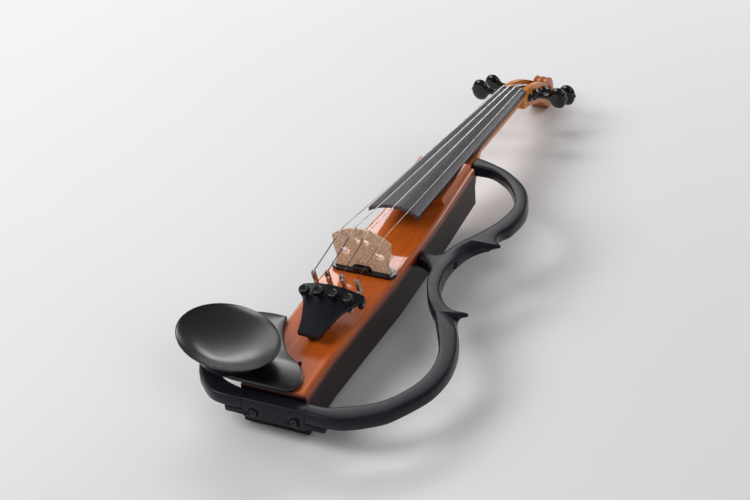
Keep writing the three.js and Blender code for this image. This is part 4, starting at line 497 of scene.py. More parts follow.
slope_sin, slope_cos = math.sin(BOARD_SLOPE), math.cos(BOARD_SLOPE)
scoop_start = (0, STRING_LENGTH - SCOOP_DROP * slope_sin, BOARD_SEAT - SCOOP_DROP * slope_cos)
scoop = turned("scoop", [(SCOOP_RADIUS, SCOOP_START), (SCOOP_RADIUS, SCOOP_END)], SCOOP_SIDES,
               aim(scoop_start, (0, -slope_cos, slope_sin)))
cut_by(dressed["fingerboard"], scoop)
print("board faces:", len(dressed["fingerboard"].data.polygons))

# %% [markdown]
# ## Smooth edges through a few points
# A long edge is drawn by a few points, as one would bend a thin strip around pins. A smooth curve passes
# through each of them, and it is then walked at equal distances, so that the sections of a loft stand
# evenly. A curve with handles would do as well, but the handles would double the numbers.
# %% Path helpers
SHORTEST_STEP = 1e-9


def smooth_path(points, steps):
    """A smooth curve that passes through the points."""
    path = []
    for i in range(len(points) - 1):
        p0, p1, p2, p3 = (Vector(points[min(max(i + k, 0), len(points) - 1)]) for k in (-1, 0, 1, 2))
        for step in range(steps):
            t = step / steps
            path.append(0.5 * (2 * p1 + (p2 - p0) * t + (2 * p0 - 5 * p1 + 4 * p2 - p3) * t ** 2
                               + (3 * p1 - p0 - 3 * p2 + p3) * t ** 3))
    return path + [Vector(points[-1])]


def evenly(path, count):
    """Points at equal distances along a path."""
    lengths = [0.0]
    for before, after in zip(path, path[1:]):
        lengths.append(lengths[-1] + (after - before).length)
    places, k = [], 0
    for i in range(count):
        goal = lengths[-1] * i / (count - 1)
        while k < len(path) - 2 and lengths[k + 1] < goal:
            k += 1
        share = (goal - lengths[k]) / max(lengths[k + 1] - lengths[k], SHORTEST_STEP)
        places.append(path[k].lerp(path[k + 1], min(max(share, 0), 1)))
    return places


def even_curve(points, count, steps=12):
    return evenly(smooth_path(points, steps), count)

# %% [markdown]
# ## A crowned band
# The black frame is a moulded band with a gently crowned top. A section of it is a closed ring between an
# outer and an inner edge point, and a band is a loft through many sections. Two smooth paths through a few
# points give the edges, stretch by stretch, because both edges need a new start where a horn turns a
# corner. A curve with a bevel profile draws bands too, but its section stays the same all along, and this
# one changes at each horn.
# %% Crowned band
FRAME_FLOOR, FRAME_TOP = 23, 33
BAND_SMOOTHING = 50
# How far across a section and how far up it each point lies: the crown, and the underside past it
CROWN_SHARES = [(0, 0.1), (0, 0.72), (0.018, 0.87), (0.05, 0.945), (0.11, 0.975), (0.25, 0.992), (0.5, 1)]
UNDER_SHARES = [(0.06, 0), (0.5, 0.12), (0.75, 0.5), (0.94, 1)]
HORN_TIPS = (Vector((82, 72.4, 0)), Vector((90.2, -18.5, 0)))
HORN_REACH, HORN_LIFT, HORN_THICKNESS = 24, 7.2, 2.4
DIP_WIDTH_SHARE = 0.62
HORN_POWER, DIP_POWER, LEVEL_POWER = 1.4, 1.3, 1.5


def crowned_ring(outer, inner, floor=FRAME_FLOOR, top=FRAME_TOP, dip=0):
    """A closed section between two edge points, flat below and crowned above.

    Near a horn its outer edge gets thin from below, and past the horn's ridge the outer part of its top dips.
    """
    outer, inner = Vector((*outer[:2], 0)), Vector((*inner[:2], 0))
    nearness = max(0, 1 - min((outer - tip).length for tip in HORN_TIPS) / HORN_REACH)
    outer_floor = min(floor + HORN_LIFT * nearness ** HORN_POWER, top - dip - HORN_THICKNESS)
    inner_wall = [(1 - across, rise) for across, rise in reversed(CROWN_SHARES[:-1])]
    crown = []
    for shares, base in ((CROWN_SHARES, outer_floor), (inner_wall, floor)):
        for across, rise in shares:
            local_top = top - dip * max(0, 1 - across / DIP_WIDTH_SHARE) ** DIP_POWER
            crown.append(outer.lerp(inner, across) + Vector((0, 0, base + (local_top - base) * rise)))
    under = [inner.lerp(outer, across) + Vector((0, 0, floor + (outer_floor - floor) * rise))
             for across, rise in UNDER_SHARES]
    return crown + under


def band(name, stretches):
    """A band whose two edges are given stretch by stretch, so that its corners face each other.

    A stretch may start with a dip of its outer edge that levels out after a share of its length.
    """
    rings = []
    for outer_points, inner_points, count, dip, dip_share in stretches:
        outer = even_curve(outer_points, count)
        inner = even_curve(inner_points, count)
        for i in range(1 if rings else 0, len(outer)):
            level = max(0, 1 - i / (len(outer) - 1) / dip_share)
            rings.append(crowned_ring(outer[i], inner[i], dip=dip * level ** LEVEL_POWER))
    return loft(name, rings, BAND_SMOOTHING)

# %% [markdown]
# ## The open side frame
# The frame draws the outline of a violin where the wooden body would be, with two sharp horns at the waist.
# It runs from the heel around the upper bout, the waist and the lower bout to the tail. The short stub that
# reaches for the trunk is a second, smaller band. A Boolean union makes one shell of the two, because
# shells that merely overlap would break the holes cut later.
# %% Side frame
# Outer points, inner points, number of sections, dip at the start and the share over which it levels out
UPPER_BOUT = (
    [(19.6, 188.6), (31.7, 184.8), (53, 174.7), (75, 154), (84.8, 126.2), (82.6, 101.5), (78, 91),
     (76.9, 84.4), (78.2, 78), (81.2, 73.5)],
    [(19.6, 173.3), (35.8, 174), (46.5, 168.7), (56.4, 160.6), (64.8, 149.4), (70.3, 138.5), (72.8, 126.9),
     (71.7, 116), (67.4, 100.2), (60.4, 85.2), (54.4, 75.2)],
    50, 0, 1)
UPPER_HORN = ([(81.2, 73.5), (82.2, 72.9), (82.2, 72.1), (81.2, 71.7)], [(54.4, 75.2), (52.8, 73)], 6, 0, 1)
UPPER_HOLLOW = ([(81.2, 71.7), (78, 71.2), (75, 71)], [(52.8, 73), (52.4, 72)], 5, 0, 1)
WAIST = (
    [(75, 71), (71.1, 69), (62.4, 62), (57.8, 49.2), (55.3, 33.6), (56, 19.9), (59, 5.8),
     (64.9, -5.4), (72.4, -14.3), (79.9, -18.3), (84.9, -18.9), (89.2, -17.9)],
    [(52.4, 72), (46.2, 57.1), (43.4, 42), (43.2, 20.9), (47.2, 7.2), (54, -7.8), (61.5, -19)],
    60, 5.5, 0.34)
LOWER_HORN = ([(89.2, -17.9), (90.2, -18.1), (90.2, -18.9), (89.2, -19.4)], [(61.5, -19), (62.5, -20.4)],
              6, 0, 1)
LOWER_HOLLOW = ([(89.2, -19.4), (86.4, -19.9), (85, -20.8)], [(62.5, -20.4), (64, -22.4)], 5, 0, 1)
LOWER_BOUT = (
    [(85, -20.8), (84.3, -22.8), (84.9, -26), (86.4, -30), (88.6, -35.6), (95.3, -50), (100, -66.8),
     (101.9, -86.5), (99.1, -106.1), (93.5, -119.8), (80.3, -141.2), (69.5, -150.7), (54.7, -159.5),
     (40.8, -162.2), (24.6, -161.7)],
    [(64, -22.4), (67.9, -27.9), (82.7, -58), (87.4, -74.9), (87.8, -89.3), (85.2, -103), (80.2, -114.6),
     (73.5, -125.8), (63, -136.3), (48.1, -144.7), (36.7, -149.7), (24.6, -150.5)],
    84, 4.5, 0.1)
# Place across, lower edge and upper edge of each section of the stub, which lies just inside the band
STUB_SECTIONS = [(27.3, 37.1, 47.2), (31, 36.4, 46.6), (35, 34.2, 45.4), (39, 31, 46), (42.6, 25.4, 48.6),
                 (45.5, 19, 53), (48.5, 14, 58)]
STUB_FLOOR, STUB_TOP = FRAME_FLOOR + 0.1, FRAME_TOP - 0.12

frame_band = band("side_frame_band", [
    UPPER_BOUT, UPPER_HORN, UPPER_HOLLOW, WAIST, LOWER_HORN, LOWER_HOLLOW, LOWER_BOUT])
stub_rings = [crowned_ring((x, high), (x, low), STUB_FLOOR, STUB_TOP) for x, low, high in STUB_SECTIONS]
stub = loft("side_frame_stub", stub_rings, BAND_SMOOTHING)
side_frame = settle(cut_by(frame_band, stub, "UNION"), "side_frame", satin)
print("side frame faces:", len(side_frame.data.polygons))

# %% [markdown]
# ## The shoulder arm
# On the player's side the frame goes on as a short arm that curves out from the tail and stops,
# round-ended, below the chin rest. It is the same crowned band, drawn from its own two edges, with the last
# rings closing in.
# %% Shoulder arm
ARM_OUTER = [(-24.7, -161.7), (-40.3, -162.2), (-50.2, -159.5), (-60.8, -150.7), (-68.5, -141.2),
             (-77.9, -119.8), (-81.6, -106.5), (-79.6, -101.8), (-77.2, -100.4)]
ARM_INNER = [(-24.7, -150.5), (-34, -149.2), (-45.5, -144.7), (-56.1, -136.3), (-63.6, -125.8),
             (-68.4, -114.6), (-71.8, -104), (-74.2, -101), (-76.6, -100.3)]
ARM_RINGS = 40

arm_edges = zip(even_curve(ARM_OUTER, ARM_RINGS), even_curve(ARM_INNER, ARM_RINGS))
arm = loft("shoulder_arm_crowned", [crowned_ring(outer, inner) for outer, inner in arm_edges], BAND_SMOOTHING)
settle(arm, "shoulder_arm", satin)
print("arm faces:", len(arm.data.polygons))

# %% [markdown]
# ## The chin rest's cup
# The chin rest is one moulding: a thin plate with an S-shaped edge lies on the trunk, and an oval cup grows
# out of it over the bass side. The cup is a turned shape: the circle is extruded up a flaring wall, over a
# thin round lip and down into the dish, then stretched into an oval and turned. The dish is deepest towards
# the player, so its rings are shifted that way, the inner ones most. Pulling a ball into shape by hand
# would leave the lip uneven, and a turned lip is even all round.
# %% Chin cup
CHIN_FLOOR, CUP_RIM, CUP_DISH = 38.3, 56, 9.5
CUP_CENTRE, CUP_TURN = Vector((-49.4, -127.4, 0)), -25.6
CUP_LONG, CUP_SHORT, CUP_SIDES = 44.9, 33.2, 96
CUP_SMOOTHING = 60
FOOT_SHARE, FLARE_SHARE, FOOT_RISE, LIP_HEIGHT = 0.66, 0.335, 0.2, 1.2
LIP_SHARES_AND_DROPS = [(0.999, 0.6), (0.998, 0.25), (0.993, 0), (0.983, 0.12), (0.972, 0.6)]
DISH_SHARE, DISH_EDGE_DROP = 0.96, 1
WALL_STEPS, DISH_STEPS = 9, 12
WALL_POWER, DISH_POWER = 1.5, 2.2
DEEPEST_SHIFT = Vector((-2, -12, 0)) * MM

wall_height = CUP_RIM - LIP_HEIGHT - CHIN_FLOOR
cup_wall = [(FOOT_SHARE + FLARE_SHARE * (i / WALL_STEPS) ** WALL_POWER,
             CHIN_FLOOR + FOOT_RISE + wall_height * i / WALL_STEPS) for i in range(WALL_STEPS + 1)]
cup_lip = [(share, CUP_RIM - drop) for share, drop in LIP_SHARES_AND_DROPS]
cup_dish = [(DISH_SHARE * i / DISH_STEPS,
             CUP_RIM - DISH_EDGE_DROP - (CUP_DISH - DISH_EDGE_DROP) * (1 - (i / DISH_STEPS) ** DISH_POWER))
            for i in range(DISH_STEPS, 0, -1)]
cup_place = (Matrix.Translation(CUP_CENTRE * MM) @ Matrix.Rotation(math.radians(CUP_TURN), 4, "Z")
             @ Matrix.Diagonal((CUP_LONG, CUP_SHORT, 1, 1)))
cup = turned("chin_cup", cup_wall + cup_lip + cup_dish, CUP_SIDES, cup_place, CUP_SMOOTHING)
for vertex in list(cup.data.vertices)[CUP_SIDES * (len(cup_wall) + len(cup_lip)):]:
    reach = (cup_place.inverted() @ vertex.co).to_2d().length / MM
    vertex.co += DEEPEST_SHIFT * max(0, 1 - reach / DISH_SHARE)
print("chin cup faces:", len(cup.data.polygons))

# %% [markdown]
# ## The chin rest's plate
# The plate is a thin band from its S-shaped edge over the trunk to its round edge below the cup, so each
# section of the loft reaches across from one edge to the other. It is simply joined to the cup, which grows
# out of it.
# %% Chin plate
# Step inwards and height above the plate's underside, from the underside to the top
PLATE_SECTION = [(0, 0), (-0.35, 0.35), (-0.35, 2.2), (0.15, 2.85), (0.9, 3.1)]
PLATE_EDGE = [(6.2, -151.7), (11.9, -148.2), (12.5, -140.5), (10.5, -133.5), (6.9, -127.4), (2.5, -122.7),
              (-4.5, -118.1), (-11.4, -112.7), (-17.5, -104.3), (-23.8, -93.5), (-27.5, -82.7),
              (-29.5, -75.4)]
PLATE_BACK = [(-36, -151.7), (-50.4, -148.9), (-60, -142), (-66.2, -132.8), (-69.5, -118), (-70.5, -105),
              (-67, -92), (-60, -80.5), (-52, -76.6), (-44, -75.2), (-37, -74.8), (-31, -75)]
PLATE_RINGS, PLATE_STEPS = 60, 10


def plate_ring(outer, inner):
    """A thin section between the plate's two edges, with its top edges rounded over."""
    outer, inner = Vector((*outer[:2], 0)), Vector((*inner[:2], 0))
    across = (inner - outer).normalized()
    rows = [(outer, step, rise) for step, rise in PLATE_SECTION]
    rows += [(inner, -step, rise) for step, rise in reversed(PLATE_SECTION)]
    return [corner + across * step + Vector((0, 0, CHIN_FLOOR + rise)) for corner, step, rise in rows]


def joined(name, pieces):
    activate(pieces[0])
    for piece in pieces:
        piece.select_set(True)
    bpy.ops.object.join()
    pieces[0].name = name
    return pieces[0]


plate_edges = zip(even_curve(PLATE_EDGE, PLATE_RINGS, PLATE_STEPS),
                  even_curve(PLATE_BACK, PLATE_RINGS, PLATE_STEPS))
plate = loft("chin_plate", [plate_ring(outer, inner) for outer, inner in plate_edges], BAND_SMOOTHING)
chin_rest = settle(joined("chin_rest_moulding", [cup, plate]), "chin_rest", chin_satin)
print("chin rest faces:", len(chin_rest.data.polygons))

# %% [markdown]
# ## The neck and its pegbox
# The wooden neck, its heel and the open pegbox already have their shape in the frame, so a copy is taken
# and only eased. The frame's scroll is a stack of plain discs, though, and a scroll is what people look at
# first. So the copy is bisected at the pegbox's end, and a real volute is grown there.
# %% Neck without the discs
NECK_END = 395.9
NECK_EASING, NECK_EASING_SEGMENTS = 0.6, 3

neck = merged_copy("neck", "neck_eased")
bpy.ops.object.mode_set(mode="EDIT")
bpy.ops.mesh.select_all(action="SELECT")
bpy.ops.mesh.bisect(plane_co=(0, NECK_END * MM, 0), plane_no=(0, 1, 0), use_fill=True, clear_outer=True)
bpy.ops.object.mode_set(mode="OBJECT")
ease(neck, NECK_EASING, NECK_EASING_SEGMENTS)
print("neck faces without a scroll:", len(neck.data.polygons))

# %% [markdown]
# ## The scroll
# A violin's scroll is a spiral ramp: it starts from the pegbox's back, runs around the far end, and winds
# inwards while it grows wider, so the eye stands out on both sides. The radius falls by the same share with
# every degree, which is how a natural spiral shrinks. Each ring is a section of the ramp, with two shallow
# flutes on its outer side, and it reaches down to the next turn. A small button closes the eye on both
# sides. A Screw modifier winds a shape too, but its section stays the same from end to end.
# %% Scroll
EYE_Y, EYE_Z = 408, -25
SCROLL_RADIUS, SCROLL_SHRINK, SHRINK_START = 15.5, 0.106, 1.2
SCROLL_END, SCROLL_RINGS = 11.3, 120
THROAT_HALF, WAIST_LOSS, EYE_GAIN = 9.4, 3.3, 5.7
LOSS_START, LOSS_SPAN = -0.6, 3.2
GAIN_START, GAIN_SPAN = 2.6, 8.4
RAMP_GAP, RAMP_STEP, RAMP_SLOPE, EYE_CORE = 0.5, 0.6, 2.2, 1.2
FLUTE_SHARE, THROAT_FLUTE = 0.05, 0.4
LOSS_POWER, GAIN_POWER, RAMP_POWER = 0.8, 1.1, 1.5
ACROSS_STEPS = 8
ACROSS_SHARES = [i / ACROSS_STEPS for i in range(-ACROSS_STEPS, ACROSS_STEPS + 1)]
DEPTH_SHARES = (0.1, 0.45, 0.8, 1.0)
# Place along the neck, height of its back, depth and half width of each section of the throat
THROAT_SECTIONS = [(381, -21.2, 3, 10.0), (386, -24.9, 5, 9.9), (391, -29.4, 8, 9.7),
                   (395.6, -33.6, 12, 9.6), (400, -37.2, 14, 9.5), (404, -39.5, 13, 9.4)]
EYE_PROFILE = [(4.4, 0), (4.4, 23.2), (4.1, 23.75), (3.4, 24.0), (2.2, 24.1)]
EYE_HALF, EYE_SIDES = 12.05, 48
SCROLL_SMOOTHING = 35


def flute(share):
    """Two shallow hollows across a back: nothing at its middle and its edges, and one in between."""
    return math.sin(math.pi * abs(share)) ** 2


def scroll_radius(angle):
    """Distance from the eye, with the angle counted from straight below it towards the far end."""
    return SCROLL_RADIUS * math.exp(-SCROLL_SHRINK * max(angle - SHRINK_START, 0))


def scroll_half(angle):
    loss = WAIST_LOSS * min(max((angle - LOSS_START) / LOSS_SPAN, 0), 1) ** LOSS_POWER
    return THROAT_HALF - loss + EYE_GAIN * max((angle - GAIN_START) / GAIN_SPAN, 0) ** GAIN_POWER


def scroll_point(angle, radius, x):
    return (x, EYE_Y + radius * math.sin(angle), EYE_Z - radius * math.cos(angle))


def mirrored(points):
    return [(-x, y, z) for x, y, z in reversed(points)]


def scroll_ring(angle):
    outer = scroll_radius(angle)
    half = scroll_half(angle)
    inner = max(scroll_radius(angle + math.tau) - RAMP_GAP, EYE_CORE)
    next_half = scroll_half(min(angle + math.tau, SCROLL_END)) - RAMP_STEP
    inner_half = min(next_half, half + RAMP_SLOPE) if angle > 0 else half
    back = [scroll_point(angle, outer - FLUTE_SHARE * outer * flute(share), share * half)
            for share in ACROSS_SHARES]
    right = [scroll_point(angle, outer + (inner - outer) * depth,
                          half + (inner_half - half) * depth ** RAMP_POWER)
             for depth in DEPTH_SHARES]
    return back + right + mirrored(right)


def throat_ring(y, back_z, depth, half):
    """The pegbox's own section near its end, with as many points as a ring of the volute."""
    back = [(share * half, y, back_z + THROAT_FLUTE * flute(share)) for share in ACROSS_SHARES]
    right = [(half, y, back_z + depth * share) for share in DEPTH_SHARES]
    return back + right + mirrored(right)


throat_rings = [throat_ring(*section) for section in THROAT_SECTIONS]
volute_rings = [scroll_ring(SCROLL_END * i / SCROLL_RINGS) for i in range(SCROLL_RINGS + 1)]
volute = loft("volute", throat_rings + volute_rings, SCROLL_SMOOTHING)
eye = turned("scroll_eye", EYE_PROFILE, EYE_SIDES, aim((-EYE_HALF, EYE_Y, EYE_Z), (1, 0, 0)))
neck = settle(joined("neck_with_scroll", [neck, volute, eye]), "neck", pale_varnish)
print("neck faces:", len(neck.data.polygons))

# %% [markdown]
# ## The pegs
# A peg is turned from the tip of its shaft to the collar, and its head is then flattened into the oval that
# the fingers hold. All four are alike, so one is grown along z with a flattening that starts after the
# waist, and it is copied to the four holes. The pegbox tapers, so each copy is set by its collar, and its
# shaft is drawn in or out until its tip shows just outside the far cheek. Squeezing one end of a turned rod
# would give a head as well, but here the thickness and the width of each section can be chosen on their
# own.
# %% Pegs
PEG_PLACES = {"g": 15, "e": 27.6, "d": 44.4, "a": 57}
PEGBOX_LENGTH = 70
CHEEK_TOP, CHEEK_FALL, CHEEK_FALL_SHARES = 18, 27, (0.33, 0.67)
PEGBOX_HALF, PEGBOX_TAPER = 12.2, 2.6
PEG_DEPTH, PEG_SIDES, PEG_SMOOTHING = 9.6, 40, 50
SHAFT_MIDDLE, SHAFT_SPAN, COLLAR_START, COLLAR_GAP = 10, 22.6, 24.05, 0.35
# Height along the peg, half thickness and half width of each section
PEG_SECTIONS = [
    (-1.6, 3.1, 3.1), (-1.3, 3.5, 3.5), (-0.9, 3.7, 3.7), (24.0, 3.7, 3.7), (24.05, 5.2, 5.2),
    (24.4, 5.6, 5.6), (26.3, 5.6, 5.6), (26.9, 5.2, 5.2), (27.2, 4.3, 4.3), (28.2, 3.3, 3.3),
    (31.0, 2.8, 2.8), (35.0, 2.7, 2.7), (38.4, 2.8, 3.1), (40.2, 3.1, 4.8), (41.5, 3.5, 7.0),
    (43.1, 3.85, 8.9), (45.2, 4.05, 10.1), (47.6, 4.15, 10.45), (50.0, 4.1, 10.1), (52.0, 3.8, 8.9),
    (53.5, 3.35, 7.1), (54.5, 2.8, 4.9), (55.0, 2.2, 2.9), (55.1, 1.6, 1.7), (55.2, 1.35, 1.35),
    (55.6, 1.5, 1.5), (55.95, 1.3, 1.3), (56.05, 0.7, 0.7),
]


def pegbox_half(s):
    return PEGBOX_HALF - PEGBOX_TAPER * s / PEGBOX_LENGTH


def peg_height(s):
    """The height of a peg's axis at a distance past the nut, below the curved top of the cheeks."""
    share = s / PEGBOX_LENGTH
    straight, curved = CHEEK_FALL_SHARES
    return CHEEK_TOP - CHEEK_FALL * (straight * share + curved * share ** 2) - PEG_DEPTH


def around(i, count, thick, wide, height):
    angle = math.tau * i / count
    return (thick * math.cos(angle), wide * math.sin(angle), height)


def peg_ring(height, thick, wide):
    return [around(i, PEG_SIDES, thick, wide, height) for i in range(PEG_SIDES)]


def own_copy(piece, name, matrix):
    copy = bpy.data.objects.new(name, piece.data.copy())
    bpy.context.scene.collection.objects.link(copy)
    copy.data.transform(matrix)
    return copy


first_peg = loft("peg_turned", [peg_ring(*section) for section in PEG_SECTIONS], PEG_SMOOTHING)
for name, s in PEG_PLACES.items():
    side = -1 if name in "gd" else 1
    cheek = pegbox_half(s)
    peg = own_copy(first_peg, f"peg_{name}_turned", Matrix())
    for vertex in peg.data.vertices:
        if vertex.co.z < SHAFT_MIDDLE * MM:
            vertex.co.z += (SHAFT_SPAN - 2 * cheek) * MM
    place = Matrix.Translation(Vector((0, STRING_LENGTH + s, peg_height(s))) * MM)
    turn = Matrix(((0, 0, side, 0), (1, 0, 0, 0), (0, side, 0, 0), (0, 0, 0, 1)))
    outwards = Matrix.Translation((0, 0, (cheek + COLLAR_GAP - COLLAR_START) * MM))
    peg.data.transform(place @ turn @ outwards)
    settle(peg, f"peg_{name}", gloss)
bpy.data.objects.remove(first_peg)
print("peg faces:", len(peg.data.polygons))

# %% [markdown]
# ## String turns on the pegs
# Every string ends in a few close turns around its peg. The frame has a plain ring there. Here the ring
# gets four rounded ridges, one for each turn, by extruding the circle through a small wave. A bump on a
# smooth ring looks alike from straight above, but its outline stays straight.
# %% Windings
WINDING_SHARES = {"g": -0.55, "d": -0.2, "a": 0.2, "e": 0.55}
TURN_COUNT, TURN_PITCH = 4, 0.9
TURN_WAVE = [(0.05, 0.55), (0.2, 0.95), (0.45, 1.08), (0.7, 0.95), (0.85, 0.55)]
WINDING_RADIUS, WINDING_SIDES, WINDING_SMOOTHING = 4, 36, 60
WINDING_ENDS = [(4.02, 0.02), (4.02, 3.58)]
WINDING_MARGIN, WINDING_HALF = 4.6, 1.8

winding_profile = [WINDING_ENDS[0]]
for turn_index in range(TURN_COUNT):
    for height, rise in TURN_WAVE:
        winding_profile.append((WINDING_RADIUS + rise, turn_index * TURN_PITCH + height))
winding_profile.append(WINDING_ENDS[1])
first_winding = turned("winding_ridged", winding_profile, WINDING_SIDES, smooth_angle=WINDING_SMOOTHING)
for name, s in PEG_PLACES.items():
    x = WINDING_SHARES[name] * (pegbox_half(s) - WINDING_MARGIN) - WINDING_HALF
    place = aim((x, STRING_LENGTH + s, peg_height(s)), (1, 0, 0))
    settle(own_copy(first_winding, f"peg_winding_{name}_ridged", place), f"peg_winding_{name}", steel)
print("winding faces:", len(first_winding.data.polygons))
bpy.data.objects.remove(first_winding)

# %% [markdown]
# ## Fine tuners
# Four knurled screws stand on the tailpiece, and each presses the back end of a lever whose claw holds a
# string. The screw is grown as a loft: the shank is round, the grip's rings swing between two radii for the
# knurl, and the top closes in a shallow dished disc. The outer two shanks are shorter, because the
# tailpiece falls away to its sides.
# %% Tuner screws
TAIL_CORNER, TAIL_TILT = Vector((-1.5, -97, 47.5)), 17
TAIL_HALF, TAIL_LENGTH, TAIL_DROP = 25, 46, 6
TAIL_FRAME = Matrix.Translation(TAIL_CORNER * MM) @ Matrix.Rotation(math.radians(TAIL_TILT), 4, "X")
TAIL_PLACES = {"g": -17.4, "d": -5.8, "a": 5.8, "e": 17.4}
TUNER_Y, TUNER_RISE = 35, 3
SHANK_MIDDLE, SHANK_RISE = -8, 1.6
KNOB_SIDES, KNOB_SMOOTHING = 64, 28
# Height, radius and depth of the knurl of each section
KNOB_SECTIONS = [
    (-10.4, 1.1, 0), (-10.1, 1.5, 0), (-0.6, 1.5, 0), (-0.5, 2.2, 0), (0, 2.4, 0), (0.05, 3.4, 0),
    (0.35, 4.0, 0.3), (0.6, 4.1, 0.45), (3.3, 4.1, 0.45), (3.6, 4.0, 0.3), (3.85, 3.6, 0), (4.25, 3.45, 0),
    (4.4, 3.2, 0), (4.3, 2.9, 0), (4.1, 2.6, 0), (4.0, 1.4, 0), (3.95, 0.5, 0),
]


def tail_drop(x, y):
    """How far the tailpiece's arched top lies below its middle line."""
    return TAIL_DROP * (x / TAIL_HALF) ** 2 * y / TAIL_LENGTH


def knurl_ring(height, radius, depth):
    """A ring whose every second point lies deeper."""
    reaches = [radius - depth * (i % 2) for i in range(KNOB_SIDES)]
    return [around(i, KNOB_SIDES, reach, reach, height) for i, reach in enumerate(reaches)]


first_knob = loft("tuner_knob", [knurl_ring(*section) for section in KNOB_SECTIONS], KNOB_SMOOTHING)
for name, x in TAIL_PLACES.items():
    top = TUNER_RISE - tail_drop(x, TUNER_Y)
    knob = own_copy(first_knob, f"tuner_screw_{name}_knurled", Matrix())
    for vertex in knob.data.vertices:
        if vertex.co.z < SHANK_MIDDLE * MM:
            vertex.co.z += (SHANK_RISE - top) * MM
    knob.data.transform(TAIL_FRAME @ Matrix.Translation(Vector((x, TUNER_Y, top)) * MM))
    settle(knob, f"tuner_screw_{name}", black_steel)
bpy.data.objects.remove(first_knob)
print("tuner screw faces:", len(knob.data.polygons))

# %% [markdown]
# ## Claws with a slot
# A string ends in a small ball that is caught behind a slotted claw. The lever's own shape comes from the
# frame, and a thin box cut through the top of its claw makes the slot.
# %% Levers
CLAW_RISE = 6
SLOT_HALF, SLOT_BACK, SLOT_FRONT, SLOT_DEPTH, SLOT_OVERRUN = 0.5, 49.9, 54.5, 2.3, 2
LEVER_EASING = 0.35


def cutting_box(low, high, place=Matrix()):
    deselect()
    middle = (Vector(low) + Vector(high)) / 2 * MM
    bpy.ops.mesh.primitive_cube_add(size=1, location=middle)
    box = bpy.context.object
    box.scale = (Vector(high) - Vector(low)) * MM
    bpy.ops.object.transform_apply(location=True, rotation=False, scale=True)
    box.data.transform(place)
    return box


for name, x in TAIL_PLACES.items():
    lever = merged_copy(f"tuner_lever_{name}", f"tuner_lever_{name}_slotted")
    claw_top = CLAW_RISE - tail_drop(x, TAIL_LENGTH)
    slot = cutting_box((x - SLOT_HALF, SLOT_BACK, claw_top - SLOT_DEPTH),
                       (x + SLOT_HALF, SLOT_FRONT, claw_top + SLOT_OVERRUN), TAIL_FRAME)
    cut_by(lever, slot)
    ease(lever, LEVER_EASING)
    settle(lever, f"tuner_lever_{name}", nickel)
print("levers:", len(TAIL_PLACES))

# %% [markdown]
# ## The tail bracket
# Frame and arm end on either side of the trunk, and the bracket closes the outline between them. What shows
# of it is a strip with the frame's own crown that bows out a little; below it, two flat wings reach under
# the frame's ends.
# %% Tail bracket
BRACKET_HALF, BRACKET_BOW, BRACKET_FLOOR = 24.3, 0.25, 16.2
BRACKET_REAR, BRACKET_FRONT = -161.7, -150.45
UNDERSIDE_TOP = FRAME_FLOOR + 0.5
STRIP_SHARES = (-1, -0.97, -0.7, -0.35, 0, 0.35, 0.7, 0.97, 1)
WINGS_LOW, WINGS_HIGH = (-39, -161.5, 17), (39, -150.8, 22.7)
WINGS_EASING, WINGS_SEGMENTS = 1.6, 3


def bracket_ring(share):
    """A section of the strip, with its flat underside let down to the bracket's own floor."""
    x, bow = BRACKET_HALF * share, BRACKET_BOW * (1 - share ** 2)
    ring = crowned_ring((x, BRACKET_REAR - bow), (x, BRACKET_FRONT))
    return [Vector((*place[:2], BRACKET_FLOOR if place.z < UNDERSIDE_TOP else place.z)) for place in ring]


strip = loft("bracket_strip", [bracket_ring(share) for share in STRIP_SHARES], BAND_SMOOTHING)
wings = cutting_box(WINGS_LOW, WINGS_HIGH)
wings.name = "bracket_wings"
ease(wings, WINGS_EASING, WINGS_SEGMENTS)
bracket = settle(cut_by(strip, wings, "UNION"), "tail_bracket", satin)
print("bracket faces:", len(bracket.data.polygons))

# %% [markdown]
# ## Screw heads
# All the screws have a cross recess. Each head's outer face is found from its box, and two thin crossed
# boxes are cut into it. A texture could draw the cross, but a cut one has walls that catch the light.
# %% Screws
SCREW_WAYS = {
    "bracket_screw_left": (0, -1, 0), "bracket_screw_right": (0, -1, 0), "frame_screw_heel": (1, 0, 0),
    "frame_screw_waist": (1, 0, 0), "frame_screw_tail": (0, 0, -1), "arm_screw": (0, 0, -1),
    "back_cover_screw_tail": (0, 0, -1), "back_cover_screw_head": (0, 0, -1),
}
CROSS_REACH, CROSS_HALF, CROSS_DEPTH, CROSS_OVERRUN = 1.3, 0.3, 0.9, 0.5
SCREW_EASING = 0.18
SHANK_RADIUS, COUNTERBORE_RADIUS, COUNTERBORE_DEPTH, COUNTERBORE_OVERRUN = 1.9, 3.3, 2.6, 40
THROUGH_DEPTH, BLIND_DEPTH = 30, 12.9
COUNTERBORE_SIDES = 32


def head_face(node, way):
    corners = [Vector(corner) for corner in frame["nodes"][node].bound_box]
    low = Vector([min(c[i] for c in corners) for i in range(3)])
    high = Vector([max(c[i] for c in corners) for i in range(3)])
    middle = (low + high) / 2
    return Vector([high[i] if way[i] > 0 else low[i] if way[i] < 0 else middle[i] for i in range(3)])


for node, way in SCREW_WAYS.items():
    place = aim(head_face(node, way), way, millimetres=False)
    piece = merged_copy(node, f"{node}_crossed")
    for half_x, half_y in ((CROSS_REACH, CROSS_HALF), (CROSS_HALF, CROSS_REACH)):
        bar = cutting_box((-half_x, -half_y, -CROSS_DEPTH), (half_x, half_y, CROSS_OVERRUN), place)
        cut_by(piece, bar)
    ease(piece, SCREW_EASING)
    settle(piece, node, black_steel)
print("crossed screws:", len(SCREW_WAYS))

